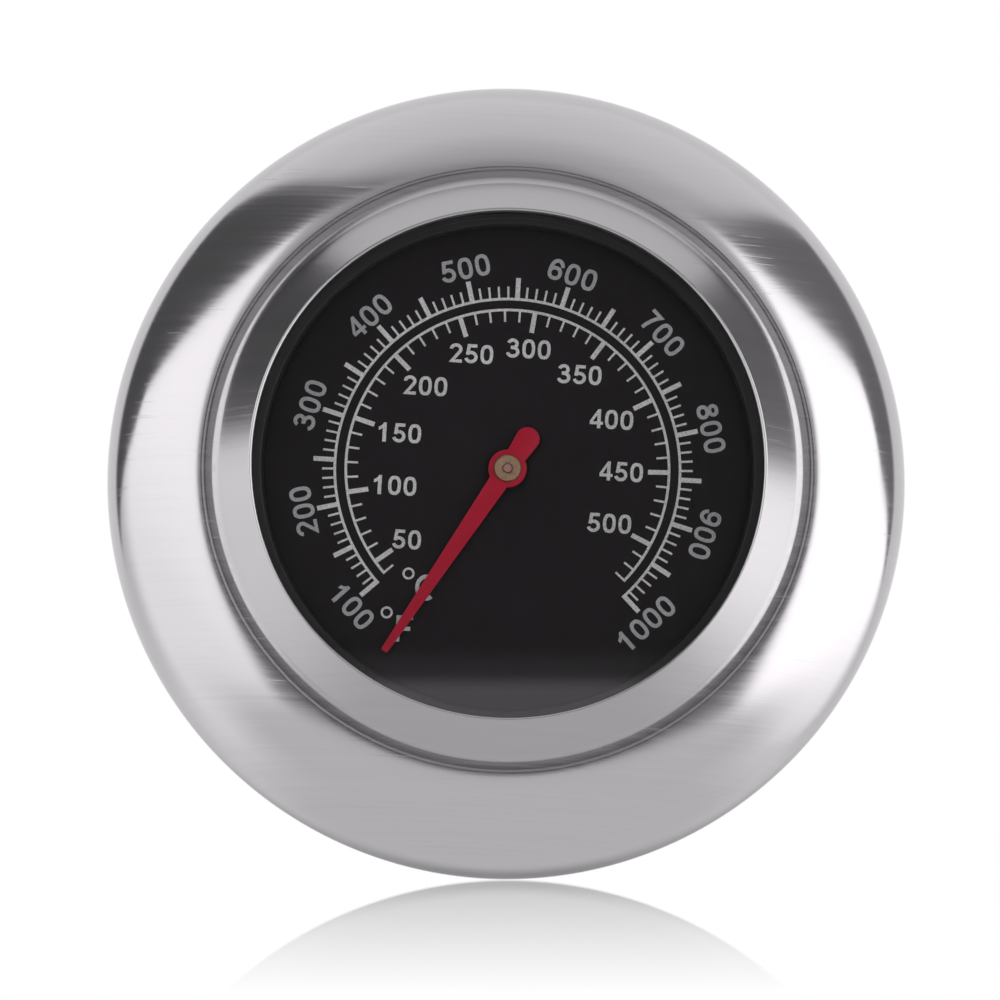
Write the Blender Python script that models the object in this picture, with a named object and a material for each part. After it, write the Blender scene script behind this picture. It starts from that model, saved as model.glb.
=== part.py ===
"""Panel-mounted oven thermometer with a domed bezel, a bimetal stem and a wing-nut clamp.

All sizes are in millimetres and become metres through MM. The pieces are built about
the local Z axis of an empty, local +Z being the way the dial faces. The empty turns
local +Z to world -Y and local +Y to world +Z. Local z = 0 is the panel's front face.
"""

import math

import bpy

MM = 0.001

# Facets round each kind of piece; the bushing's count is a multiple of six for its hexagon
FACETS_BEZEL = 56
FACETS_STACK = 40
FACETS_MEDIUM = 24
FACETS_BUSHING = 18
FACETS_SMALL = 16

# Bezel: one pressed shell, from the lip round the glass to the hem on the panel
SHEET = 0.7
LIP_RADIUS = 24.3
LIP_ROUND = 0.2
LIP_CROWN_Z = 17.0
SHOULDER = 0.2
CONE_SLOPE_DEG = 50.0
COVE = 0.4
SHELF_SLOPE_DEG = 3.0
SHELF_OUTER = 28.8
SHELF_STEP = 0.03
DOME_EDGE = 29.1
DOME_CENTRE = 28.4
DOME_TOP_Z = 13.3
BEZEL_RADIUS = 38.0
WIDEST_Z = 4.0
HEM_BEND_START = 35.4
HEM_INNER_RADIUS = 33.8
POCKET_TOP_Z = 16.0
POCKET_FLOOR_Z = 12.6

# Stack clamped between the bezel's lip and its hem
GASKET_INNER = 24.35
GASKET_OUTER = 24.58
GASKET_BOTTOM_Z = 15.46
GASKET_TOP_Z = 15.85
LENS_RADIUS = 24.9
LENS_BOTTOM_Z = 14.45
LENS_TOP_Z = 15.4
SPACER_INNER = 23.2
SPACER_OUTER = 25.6
SPACER_BOTTOM_Z = 13.07
SPACER_TOP_Z = 14.38
SPACER_CHAMFER = 0.35
DIAL_RADIUS = 26.6
DIAL_HOLE = 1.7
DIAL_BOTTOM_Z = 12.5
DIAL_FACE_Z = 13.0
CARRIER_RADIUS = 27.0
CARRIER_WALL = 0.6
CARRIER_LEDGE_INNER = 24.0
CARRIER_BOTTOM_Z = 4.56
CARRIER_TOP_Z = 12.43
COVER_SHEET = 0.6
COVER_RADIUS = 35.4
COVER_RIM_Z = 0.78
COVER_BASE_Z = 3.9
COVER_RIM_INNER = 32.8
COVER_BASE_OUTER = 30.8
COVER_BEND_SHIFT = 0.4
COVER_HOLE = 5.1
COVER_BEAD_Z = 3.3
COVER_BEAD_RADII = (21.5, 20.5, 18.5, 17.5)

# Threaded bushing, M8 x 1.25, riveted over inside the cover
HEX_ACROSS_FLATS = 14.0
HEX_CHAMFER = 0.6
HEX_TOP_Z = 3.84
BUSHING_BORE = 2.55
NOSE_RADIUS = 5.0
NOSE_SHOULDER_Z = 5.42
RIVET_RADIUS = 5.7
RIVET_TOP_Z = 6.0
UNDERCUT_RADIUS = 3.2
UNDERCUT_LENGTH = 0.8
RELIEF_RADIUS = 4.4
RELIEF_DEPTH = 0.6
THREAD_MAJOR = 4.0
THREAD_MINOR = 3.25
THREAD_PITCH = 1.25
THREAD_START_Z = -1.0
THREAD_TURNS = 14
THREAD_ROWS = 4
THREAD_END_CHAMFER = 0.5
BACKING_INNER = 5.1
BACKING_OUTER = 8.5
BACKING_BOTTOM_Z = 4.56
BACKING_TOP_Z = 5.36

# Stem and what is inside it
TUBE_RADIUS = 2.5
TUBE_BORE = 2.15
TUBE_FRONT_Z = 5.2
TUBE_REAR_Z = -46.5
TIP_Z = -48.0
TIP_ROUND = 1.0
PLUG_RADIUS = 2.1
TIP_SPIGOT_Z = -45.6
TIP_JOINT_Z = -46.54
ANCHOR_REAR_Z = -45.5
ANCHOR_SHOULDER_Z = -44.2
ANCHOR_FRONT_Z = -42.0
COIL_POST_RADIUS = 1.5
SHAFT_RADIUS = 0.6
SHAFT_FRONT_RADIUS = 0.4
SHAFT_FRONT_Z = 14.12
SHAFT_STEP_Z = 13.0
SHAFT_REAR_Z = -26.0
BEARING_BORE = 0.66
BEARING_FLANGE = 2.4
BEARING_REAR_Z = 2.6
BEARING_SHOULDER_Z = 5.25
BEARING_FRONT_Z = 5.65
GUIDE_REAR_Z = -23.5
GUIDE_FRONT_Z = -22.0
HUB_BORE = 0.62
HUB_REAR_Z = -26.0
HUB_FRONT_Z = -24.5
COLLAR_RADIUS = 1.5
COLLAR_REAR_Z = 5.7
COLLAR_FRONT_Z = 6.5
COIL_INNER = 1.6
COIL_OUTER = 1.85
COIL_STRIP_WIDTH = 0.9
COIL_FRONT_Z = -25.6
COIL_REAR_Z = -42.9
COIL_TURNS = 9
COIL_FACETS = 12

# Pointer, drawn along its own length
POINTER_BOTTOM_Z = 13.62
POINTER_TOP_Z = 13.87
POINTER_HOLE = 0.9
POINTER_TIP = 21.1
POINTER_TIP_HALF = 0.35
POINTER_TIP_CORNER = 0.12
POINTER_NECK_HALF = 0.95
POINTER_HEAD = 1.82
POINTER_TAIL_NECK_HALF = 0.98
POINTER_TAIL_HALF = 1.15
POINTER_TAIL_CENTRE = 3.4
BUSH_BORE = 0.44
BUSH_FLANGE = 1.15
BUSH_NECK = 0.85
BUSH_HEAD = 1.3
BUSH_HEAD_ROUND = 0.12
BUSH_REAR_Z = 13.15
BUSH_FLANGE_TOP_Z = 13.58
BUSH_HEAD_BOTTOM_Z = 13.9
BUSH_HEAD_TOP_Z = 14.2

# Scale: 270 degrees from 100 F to 1000 F, and where the pointer rests at room heat
SCALE_START_DEG = -135.0
SCALE_START_F = 100.0
DEG_PER_F = 0.3
REST_F = 51.7

# Clamp hardware, drawn up against a 2 mm panel
PANEL_THICKNESS = 2.0
CLAMP_GAP = 0.06
WASHER_BORE = 4.2
WASHER_RADIUS = 8.0
WASHER_THICKNESS = 1.6
LOCK_BORE = 4.15
LOCK_RADIUS = 7.2
LOCK_THICKNESS = 1.8
LOCK_RISE = 0.16
LOCK_SPLIT_DEG = 10.0
NUT_BORE = 4.06
NUT_BORE_CHAMFER = 0.5
NUT_BASE_RADIUS = 8.0
NUT_TOP_RADIUS = 6.2
NUT_BODY_HEIGHT = 8.8
NUT_EDGE_ROUND = 0.5
WING_HALF_THICKNESS = 1.7
WING_OUTLINE = (
    (0.0, 0.8), (7.0, 1.2), (10.6, 3.2), (14.2, 5.9), (17.2, 8.6), (19.0, 11.6), (19.5, 14.6),
    (18.9, 17.4), (17.3, 19.3), (15.2, 20.0), (13.1, 19.5), (11.6, 18.0), (10.7, 15.8),
    (9.6, 13.2), (7.9, 10.6), (6.1, 9.0), (4.6, 8.4), (0.0, 8.4),
)


def clear_scene():
    for thing in list(bpy.data.objects):
        bpy.data.objects.remove(thing, do_unlink=True)


def paint(name, colour, metallic, roughness, alpha=1.0):
    made = bpy.data.materials.new(name)
    made.use_nodes = True
    shader = made.node_tree.nodes["Principled BSDF"]
    shader.inputs["Base Color"].default_value = (*colour, 1.0)
    shader.inputs["Metallic"].default_value = metallic
    shader.inputs["Roughness"].default_value = roughness
    shader.inputs["Alpha"].default_value = alpha
    return made


def ellipse_arc(centre, radii, start_deg, end_deg, steps):
    """Points on an ellipse in the (radius, height) plane, both ends included."""
    points = []
    for k in range(steps + 1):
        angle = math.radians(start_deg + (end_deg - start_deg) * k / steps)
        points.append((centre[0] + radii[0] * math.cos(angle),
                       centre[1] + radii[1] * math.sin(angle)))
    return points


def signed_volume(points, faces):
    total = 0.0
    for face in faces:
        a = points[face[0]]
        for i in range(1, len(face) - 1):
            b = points[face[i]]
            c = points[face[i + 1]]
            total += a[0] * (b[1] * c[2] - b[2] * c[1])
            total += a[1] * (b[2] * c[0] - b[0] * c[2])
            total += a[2] * (b[0] * c[1] - b[1] * c[0])
    return total / 6.0


def solid(name, points, faces, skin, parent):
    """One object from points in millimetres, with its faces turned outwards."""
    if signed_volume(points, faces) < 0.0:
        faces = [tuple(reversed(face)) for face in faces]
    mesh = bpy.data.meshes.new(name)
    mesh.from_pydata([(x * MM, y * MM, z * MM) for x, y, z in points], [], faces)
    mesh.materials.append(skin)
    thing = bpy.data.objects.new(name, mesh)
    bpy.context.scene.collection.objects.link(thing)
    thing.parent = parent
    return thing


def shade_smooth(thing, angle_deg=30.0):
    """Smooth shading, with the edges sharper than the angle kept crisp."""
    mesh = thing.data
    mesh.polygons.foreach_set("use_smooth", [True] * len(mesh.polygons))
    mesh.set_sharp_from_angle(angle=math.radians(angle_deg))
    mesh.update()
    return thing


def loft(name, rings, closed, skin, parent):
    """Skin a row of equal rings; it closes on itself or gets a flat cap at each end."""
    count = len(rings[0])
    points = [point for ring in rings for point in ring]
    faces = []
    for i in range(len(rings) if closed else len(rings) - 1):
        below = i * count
        above = (i + 1) % len(rings) * count
        for j in range(count):
            k = (j + 1) % count
            faces.append((below + j, below + k, above + k, above + j))
    if not closed:
        faces.append(tuple(reversed(range(count))))
        faces.append(tuple(range((len(rings) - 1) * count, len(rings) * count)))
    return shade_smooth(solid(name, points, faces, skin, parent))


def circle(radius, height, facets):
    turn = 2.0 * math.pi / facets
    return [(radius * math.cos(turn * j), radius * math.sin(turn * j), height)
            for j in range(facets)]


def turned(name, profile, facets, skin, parent, closed=True):
    """A lathe-turned piece from its (radius, height) profile."""
    return loft(name, [circle(r, z, facets) for r, z in profile], closed, skin, parent)


def ring_profile(inner, outer, bottom, top, chamfer=0.0):
    """A plain ring's section, with its two outer edges broken if a chamfer is given."""
    if chamfer == 0.0:
        return [(inner, bottom), (outer, bottom), (outer, top), (inner, top)]
    return [(inner, bottom), (outer - chamfer, bottom), (outer, bottom + chamfer),
            (outer, top - chamfer), (outer - chamfer, top), (inner, top)]


def prism(name, outline, bottom, top, skin, parent):
    """A flat sheet piece cut to an outline in the plane of the dial."""
    rings = [[(x, y, z) for x, y in outline] for z in (bottom, top)]
    return loft(name, rings, False, skin, parent)


def combine(target, tool, operation):
    """Apply a boolean to the target for good, and remove the tool."""
    step = target.modifiers.new(operation.lower(), "BOOLEAN")
    step.operation = operation
    step.solver = "EXACT"
    step.object = tool
    bpy.context.view_layer.update()
    seen = target.evaluated_get(bpy.context.evaluated_depsgraph_get())
    result = bpy.data.meshes.new_from_object(seen)
    target.modifiers.clear()
    target.data = result
    bpy.data.objects.remove(tool, do_unlink=True)
    return shade_smooth(target)


def bezel_profile():
    """The pressed shell's section: lip, cone, cove, shelf, dome and hem, then back along the inside."""
    crown = LIP_RADIUS + LIP_ROUND
    slope = math.radians(CONE_SLOPE_DEG)
    shelf = math.tan(math.radians(SHELF_SLOPE_DEG))
    edge = math.degrees(math.acos((DOME_EDGE - DOME_CENTRE) / (BEZEL_RADIUS - DOME_CENTRE)))
    dome = (BEZEL_RADIUS - DOME_CENTRE, DOME_TOP_Z - WIDEST_Z)
    dome_points = ellipse_arc((DOME_CENTRE, WIDEST_Z), dome, edge, 0, 8)
    cone_top = (crown + SHOULDER * math.sin(slope), LIP_CROWN_Z - SHOULDER * (1.0 - math.cos(slope)))
    shelf_end = dome_points[0][1] - SHELF_STEP
    # where the cone's line meets the shelf's line
    drop = cone_top[1] - shelf_end - (SHELF_OUTER - cone_top[0]) * shelf
    foot = cone_top[0] + drop / (math.tan(slope) - shelf)
    foot_z = cone_top[1] - (foot - cone_top[0]) * math.tan(slope)
    outside = [(LIP_RADIUS, POCKET_TOP_Z)]
    outside += ellipse_arc((crown, LIP_CROWN_Z - LIP_ROUND), (LIP_ROUND, LIP_ROUND), 180, 90, 2)
    outside += [cone_top, (foot - COVE * math.cos(slope), foot_z + COVE * math.sin(slope))]
    outside += [(foot + COVE, foot_z - COVE * shelf), (SHELF_OUTER, shelf_end)]
    outside += dome_points
    outside += ellipse_arc((HEM_BEND_START, WIDEST_Z), (BEZEL_RADIUS - HEM_BEND_START, WIDEST_Z), 0, -90, 3)[1:]
    outside += [(HEM_INNER_RADIUS, 0.0), (HEM_INNER_RADIUS, SHEET)]
    wall = BEZEL_RADIUS - SHEET
    inside = ellipse_arc((HEM_BEND_START, WIDEST_Z), (wall - HEM_BEND_START, WIDEST_Z - SHEET), -90, 0, 3)
    inside += ellipse_arc((DOME_CENTRE, WIDEST_Z), (dome[0] - SHEET, dome[1] - SHEET), 0, edge, 5)[1:]
    under = cone_top[0] - SHEET / math.sin(slope)
    for z in (POCKET_FLOOR_Z, POCKET_TOP_Z):
        inside.append((under + (cone_top[1] - z) / math.tan(slope), z))
    return outside + inside


def make_bezel(parent):
    steel = paint("bezel_steel", (0.60, 0.60, 0.61), 1.0, 0.22)
    turned("outer_bezel", bezel_profile(), FACETS_BEZEL, steel, parent)


def make_lens_stack(parent):
    """Gasket, glass, spacer and dial, from the lip inwards."""
    gasket = ring_profile(GASKET_INNER, GASKET_OUTER, GASKET_BOTTOM_Z, GASKET_TOP_Z)
    turned("lens_gasket", gasket, FACETS_STACK, paint("gasket_rubber", (0.02, 0.02, 0.02), 0.0, 0.7), parent)
    glass = [(LENS_RADIUS, LENS_BOTTOM_Z), (LENS_RADIUS, LENS_TOP_Z)]
    clear = paint("lens_glass", (0.95, 0.97, 0.97), 0.0, 0.02, 0.2)
    turned("glass_lens", glass, FACETS_STACK, clear, parent, closed=False)
    spacer = [(SPACER_INNER, SPACER_BOTTOM_Z), (SPACER_OUTER, SPACER_BOTTOM_Z), (SPACER_OUTER, SPACER_TOP_Z),
              (SPACER_INNER + SPACER_CHAMFER, SPACER_TOP_Z), (SPACER_INNER, SPACER_TOP_Z - SPACER_CHAMFER)]
    spacer_black = paint("spacer_black", (0.014, 0.014, 0.015), 0.0, 0.4)
    turned("spacer_ring", spacer, FACETS_STACK, spacer_black, parent)
    dial = ring_profile(DIAL_HOLE, DIAL_RADIUS, DIAL_BOTTOM_Z, DIAL_FACE_Z)
    turned("dial_plate", dial, FACETS_STACK, paint("dial_black", (0.013, 0.012, 0.013), 0.0, 0.55), parent)


def make_housing(parent):
    """The can that carries the dial, and the back cover that the hem is rolled over."""
    steel = paint("housing_steel", (0.55, 0.55, 0.56), 1.0, 0.35)
    inner = CARRIER_RADIUS - CARRIER_WALL
    under_ledge = CARRIER_TOP_Z - CARRIER_WALL
    can = [(inner, CARRIER_BOTTOM_Z), (CARRIER_RADIUS, CARRIER_BOTTOM_Z), (CARRIER_RADIUS, CARRIER_TOP_Z),
           (CARRIER_LEDGE_INNER, CARRIER_TOP_Z), (CARRIER_LEDGE_INNER, under_ledge), (inner, under_ledge)]
    turned("dial_carrier", can, FACETS_STACK, steel, parent)
    bead = [(r, COVER_BEAD_Z if 0 < i < 3 else COVER_BASE_Z) for i, r in enumerate(COVER_BEAD_RADII)]
    rear = [(COVER_RADIUS, COVER_RIM_Z), (COVER_RIM_INNER, COVER_RIM_Z), (COVER_BASE_OUTER, COVER_BASE_Z)]
    rear += bead + [(COVER_HOLE, COVER_BASE_Z)]
    front = [(r, z + COVER_SHEET) for r, z in reversed(rear)]
    front[-3] = (COVER_BASE_OUTER + COVER_BEND_SHIFT, COVER_BASE_Z + COVER_SHEET)
    front[-2] = (COVER_RIM_INNER + COVER_BEND_SHIFT, COVER_RIM_Z + COVER_SHEET)
    cover_steel = paint("cover_steel", (0.56, 0.56, 0.57), 1.0, 0.3)
    turned("back_cover", rear + front, FACETS_STACK, cover_steel, parent)
    backing = ring_profile(BACKING_INNER, BACKING_OUTER, BACKING_BOTTOM_Z, BACKING_TOP_Z)
    backing_steel = paint("backing_steel", (0.5, 0.5, 0.5), 1.0, 0.4)
    turned("backing_washer", backing, FACETS_MEDIUM, backing_steel, parent)


def hex_ring(height, inset):
    """A hexagon's outline, with its corners held in to a circle for the chamfer."""
    apothem = HEX_ACROSS_FLATS / 2.0
    limit = apothem / math.cos(math.pi / 6.0) - inset
    ring = []
    for j in range(FACETS_BUSHING):
        angle = 2.0 * math.pi * j / FACETS_BUSHING
        from_flat = (angle % (math.pi / 3.0)) - math.pi / 6.0
        radius = min(apothem / math.cos(from_flat), limit)
        ring.append((radius * math.cos(angle), radius * math.sin(angle), height))
    return ring


def thread_rings():
    """A right-hand thread as rings whose radius follows the helix, first and last at the root."""
    rings = []
    steps = THREAD_TURNS * THREAD_ROWS
    middle = (THREAD_MAJOR + THREAD_MINOR) / 2.0
    swing = (THREAD_MAJOR - THREAD_MINOR) / 2.0
    for i in range(steps + 1):
        height = THREAD_START_Z - THREAD_PITCH * i / THREAD_ROWS
        fade = min(1.0, i / THREAD_ROWS, (steps - i) / THREAD_ROWS)
        ring = []
        for j in range(FACETS_BUSHING):
            angle = 2.0 * math.pi * j / FACETS_BUSHING
            phase = 2.0 * math.pi * i / THREAD_ROWS + angle
            radius = THREAD_MINOR + fade * (middle + swing * math.cos(phase) - THREAD_MINOR)
            ring.append((radius * math.cos(angle), radius * math.sin(angle), height))
        rings.append(ring)
    return rings


def make_bushing(parent):
    """Hex collar on the panel, a nose riveted over inside, and the threaded shank behind."""
    facets = FACETS_BUSHING
    threads = thread_rings()
    end_z = threads[-1][0][2] - THREAD_END_CHAMFER
    rings = [circle(BUSHING_BORE, RIVET_TOP_Z, facets), circle(RIVET_RADIUS, RIVET_TOP_Z, facets)]
    rings += [circle(RIVET_RADIUS, NOSE_SHOULDER_Z, facets), circle(NOSE_RADIUS, NOSE_SHOULDER_Z, facets)]
    rings += [circle(NOSE_RADIUS, HEX_TOP_Z, facets), hex_ring(HEX_TOP_Z, 2.0 * HEX_CHAMFER)]
    rings += [hex_ring(HEX_TOP_Z - HEX_CHAMFER, 0.0), hex_ring(HEX_CHAMFER, 0.0)]
    rings += [hex_ring(0.0, 2.0 * HEX_CHAMFER), circle(RELIEF_RADIUS, 0.0, facets)]
    rings += [circle(UNDERCUT_RADIUS, RELIEF_DEPTH, facets)]
    rings += [circle(UNDERCUT_RADIUS, -UNDERCUT_LENGTH, facets)] + threads
    rings += [circle(THREAD_MINOR - THREAD_END_CHAMFER, end_z, facets), circle(BUSHING_BORE, end_z, facets)]
    loft("hex_bushing", rings, True, paint("bushing_steel", (0.58, 0.58, 0.58), 1.0, 0.28), parent)


def make_stem(parent):
    """Tube, welded tip, and the plug that anchors the coil's far end."""
    tube = ring_profile(TUBE_BORE, TUBE_RADIUS, TUBE_REAR_Z, TUBE_FRONT_Z)
    turned("stem_tube", tube, FACETS_MEDIUM, paint("tube_steel", (0.62, 0.62, 0.62), 1.0, 0.2), parent)
    tip = [(PLUG_RADIUS, TIP_SPIGOT_Z), (PLUG_RADIUS, TIP_JOINT_Z), (TUBE_RADIUS, TIP_JOINT_Z)]
    tip += ellipse_arc((TUBE_RADIUS - TIP_ROUND, TIP_Z + TIP_ROUND), (TIP_ROUND, TIP_ROUND), 0, -90, 4)
    tip_steel = paint("tip_steel", (0.6, 0.6, 0.6), 1.0, 0.3)
    turned("tip_cap", tip, FACETS_MEDIUM, tip_steel, parent, closed=False)
    plug = [(PLUG_RADIUS, ANCHOR_REAR_Z), (PLUG_RADIUS, ANCHOR_SHOULDER_Z),
            (COIL_POST_RADIUS, ANCHOR_SHOULDER_Z), (COIL_POST_RADIUS, ANCHOR_FRONT_Z)]
    plug_steel = paint("plug_steel", (0.45, 0.45, 0.45), 1.0, 0.45)
    turned("coil_anchor_plug", plug, FACETS_SMALL, plug_steel, parent, closed=False)


def make_coil(parent):
    """The bimetal strip wound as a helix between the hub and the anchor plug."""
    steps = COIL_TURNS * COIL_FACETS
    half = COIL_STRIP_WIDTH / 2.0
    section = ((COIL_INNER, -half), (COIL_OUTER, -half), (COIL_OUTER, half), (COIL_INNER, half))
    rings = []
    for i in range(steps + 1):
        angle = 2.0 * math.pi * i / COIL_FACETS
        height = COIL_FRONT_Z + (COIL_REAR_Z - COIL_FRONT_Z) * i / steps
        rings.append([(r * math.cos(angle), r * math.sin(angle), height + z) for r, z in section])
    loft("bimetal_coil", rings, False, paint("bimetal_strip", (0.5, 0.46, 0.4), 1.0, 0.35), parent)


def make_bearings(parent):
    """Flanged bush at the tube's mouth and a plain guide bush in front of the coil."""
    brass = paint("bearing_brass", (0.62, 0.47, 0.25), 1.0, 0.35)
    front = [(BEARING_BORE, BEARING_REAR_Z), (PLUG_RADIUS, BEARING_REAR_Z), (PLUG_RADIUS, BEARING_SHOULDER_Z),
             (BEARING_FLANGE, BEARING_SHOULDER_Z), (BEARING_FLANGE, BEARING_FRONT_Z),
             (BEARING_BORE, BEARING_FRONT_Z)]
    turned("front_bearing_bush", front, FACETS_SMALL, brass, parent)
    guide = ring_profile(BEARING_BORE, PLUG_RADIUS, GUIDE_REAR_Z, GUIDE_FRONT_Z)
    turned("rear_guide_bush", guide, FACETS_SMALL, paint("guide_brass", (0.6, 0.46, 0.26), 1.0, 0.4), parent)


def make_shaft(parent):
    """The pointer's shaft, its thrust collar and the hub that the coil turns."""
    shaft = [(SHAFT_RADIUS, SHAFT_REAR_Z), (SHAFT_RADIUS, SHAFT_STEP_Z), (SHAFT_FRONT_RADIUS, SHAFT_STEP_Z),
             (SHAFT_FRONT_RADIUS, SHAFT_FRONT_Z)]
    shaft_steel = paint("shaft_steel", (0.6, 0.6, 0.6), 1.0, 0.25)
    turned("pointer_shaft", shaft, FACETS_SMALL, shaft_steel, parent, closed=False)
    collar = ring_profile(HUB_BORE, COLLAR_RADIUS, COLLAR_REAR_Z, COLLAR_FRONT_Z)
    turned("shaft_collar", collar, FACETS_SMALL, paint("collar_brass", (0.64, 0.48, 0.26), 1.0, 0.3), parent)
    hub = ring_profile(HUB_BORE, COIL_POST_RADIUS, HUB_REAR_Z, HUB_FRONT_Z)
    turned("coil_hub", hub, FACETS_SMALL, paint("hub_brass", (0.6, 0.45, 0.24), 1.0, 0.4), parent)


def head_arc(start, end, steps):
    return ellipse_arc((0.0, 0.0), (POINTER_HEAD, POINTER_HEAD), start, end, steps)


def pointer_outline():
    """The pointer's outline with its tip along +X: blade, round head and wide tail."""
    corner = POINTER_TIP_CORNER
    neck = math.degrees(math.asin(POINTER_NECK_HALF / POINTER_HEAD))
    tail = math.degrees(math.asin(POINTER_TAIL_NECK_HALF / POINTER_HEAD))
    outline = [(POINTER_TIP, -POINTER_TIP_HALF + corner), (POINTER_TIP, POINTER_TIP_HALF - corner)]
    outline += [(POINTER_TIP - corner, POINTER_TIP_HALF)]
    outline += head_arc(neck, 180.0 - tail, 6)
    tail_centre = (-POINTER_TAIL_CENTRE, 0.0)
    outline += ellipse_arc(tail_centre, (POINTER_TAIL_HALF, POINTER_TAIL_HALF), 90, 270, 8)
    outline += head_arc(180.0 + tail, 360.0 - neck, 6)
    outline += [(POINTER_TIP - corner, -POINTER_TIP_HALF)]
    return outline


def make_pointer(parent):
    """The red pointer at its resting angle, and the brass bush riveted through it."""
    clockwise = SCALE_START_DEG + (REST_F - SCALE_START_F) * DEG_PER_F
    turn = math.radians(90.0 - clockwise)
    placed = [(x * math.cos(turn) - y * math.sin(turn), x * math.sin(turn) + y * math.cos(turn))
              for x, y in pointer_outline()]
    red = paint("pointer_red", (0.42, 0.008, 0.026), 0.0, 0.4)
    blade = prism("pointer", placed, POINTER_BOTTOM_Z, POINTER_TOP_Z, red, parent)
    drill_profile = [(POINTER_HOLE, POINTER_BOTTOM_Z - 1.0), (POINTER_HOLE, POINTER_TOP_Z + 1.0)]
    drill = turned("drill", drill_profile, FACETS_SMALL, red, parent, closed=False)
    combine(blade, drill, "DIFFERENCE")
    bush = [(BUSH_BORE, BUSH_REAR_Z), (BUSH_FLANGE, BUSH_REAR_Z), (BUSH_FLANGE, BUSH_FLANGE_TOP_Z),
            (BUSH_NECK, BUSH_FLANGE_TOP_Z), (BUSH_NECK, BUSH_HEAD_BOTTOM_Z), (BUSH_HEAD, BUSH_HEAD_BOTTOM_Z),
            (BUSH_HEAD, BUSH_HEAD_TOP_Z - BUSH_HEAD_ROUND), (BUSH_HEAD - BUSH_HEAD_ROUND, BUSH_HEAD_TOP_Z),
            (BUSH_BORE, BUSH_HEAD_TOP_Z)]
    turned("pointer_bush", bush, FACETS_MEDIUM, paint("bush_brass", (0.42, 0.31, 0.2), 1.0, 0.4), parent)


def make_washers(parent):
    """Flat washer on the panel and a split lock washer behind it; returns where the nut starts."""
    front = -PANEL_THICKNESS - CLAMP_GAP
    rear = front - WASHER_THICKNESS
    flat = ring_profile(WASHER_BORE, WASHER_RADIUS, rear, front, 0.2)
    turned("flat_washer", flat, FACETS_MEDIUM, paint("washer_steel", (0.62, 0.62, 0.62), 1.0, 0.3), parent)
    lock_front = rear - CLAMP_GAP
    steps = FACETS_MEDIUM
    rings = []
    for i in range(steps + 1):
        angle = math.radians(LOCK_SPLIT_DEG / 2.0 + (360.0 - LOCK_SPLIT_DEG) * i / steps)
        top = lock_front - LOCK_RISE * i / steps
        low = top - LOCK_THICKNESS
        section = ((LOCK_BORE, low), (LOCK_RADIUS, low), (LOCK_RADIUS, top), (LOCK_BORE, top))
        rings.append([(r * math.cos(angle), r * math.sin(angle), z) for r, z in section])
    loft("lock_washer", rings, False, paint("lock_steel", (0.55, 0.55, 0.55), 1.0, 0.35), parent)
    return lock_front - LOCK_RISE - LOCK_THICKNESS - CLAMP_GAP


def make_wing_nut(parent, front):
    """A cast wing nut: coned body, two upswept wings, and a bore that clears the thread."""
    steel = paint("nut_steel", (0.57, 0.57, 0.57), 1.0, 0.35)
    rear = front - NUT_BODY_HEIGHT
    body = [(NUT_BASE_RADIUS - NUT_EDGE_ROUND, front), (NUT_BASE_RADIUS, front - NUT_EDGE_ROUND),
            (NUT_TOP_RADIUS, rear + NUT_EDGE_ROUND), (NUT_TOP_RADIUS - NUT_EDGE_ROUND, rear)]
    nut = turned("wing_nut", body, FACETS_MEDIUM, steel, parent, closed=False)
    for side in (1.0, -1.0):
        rings = [[(side * x, y, front - z) for x, z in WING_OUTLINE]
                 for y in (-WING_HALF_THICKNESS, WING_HALF_THICKNESS)]
        combine(nut, loft("wing", rings, False, steel, parent), "UNION")
    wide = NUT_BORE + NUT_BORE_CHAMFER
    bore = [(wide + 1.0, front + 1.0), (wide, front), (NUT_BORE, front - NUT_BORE_CHAMFER),
            (NUT_BORE, rear + NUT_BORE_CHAMFER), (wide, rear), (wide + 1.0, rear - 1.0)]
    tap = turned("tap", bore, FACETS_MEDIUM, steel, parent, closed=False)
    combine(nut, tap, "DIFFERENCE")


def build():
    clear_scene()
    axis = bpy.data.objects.new("face_axis", None)
    axis.rotation_euler = (math.pi / 2.0, 0.0, 0.0)
    bpy.context.scene.collection.objects.link(axis)
    make_bezel(axis)
    make_lens_stack(axis)
    make_housing(axis)
    make_bushing(axis)
    make_stem(axis)
    make_coil(axis)
    make_bearings(axis)
    make_shaft(axis)
    make_pointer(axis)
    nut_front = make_washers(axis)
    make_wing_nut(axis, nut_front)


build()
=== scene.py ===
"""Looks of the oven thermometer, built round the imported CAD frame.

Shapes are given in millimetres in the dial's own axes: x to the viewer's right, y up the
dial and z out of its face, with z = 0 on the panel. place() turns them into the frame.
"""

import math

import bmesh
import bpy
from mathutils import Matrix, Vector, geometry


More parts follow.
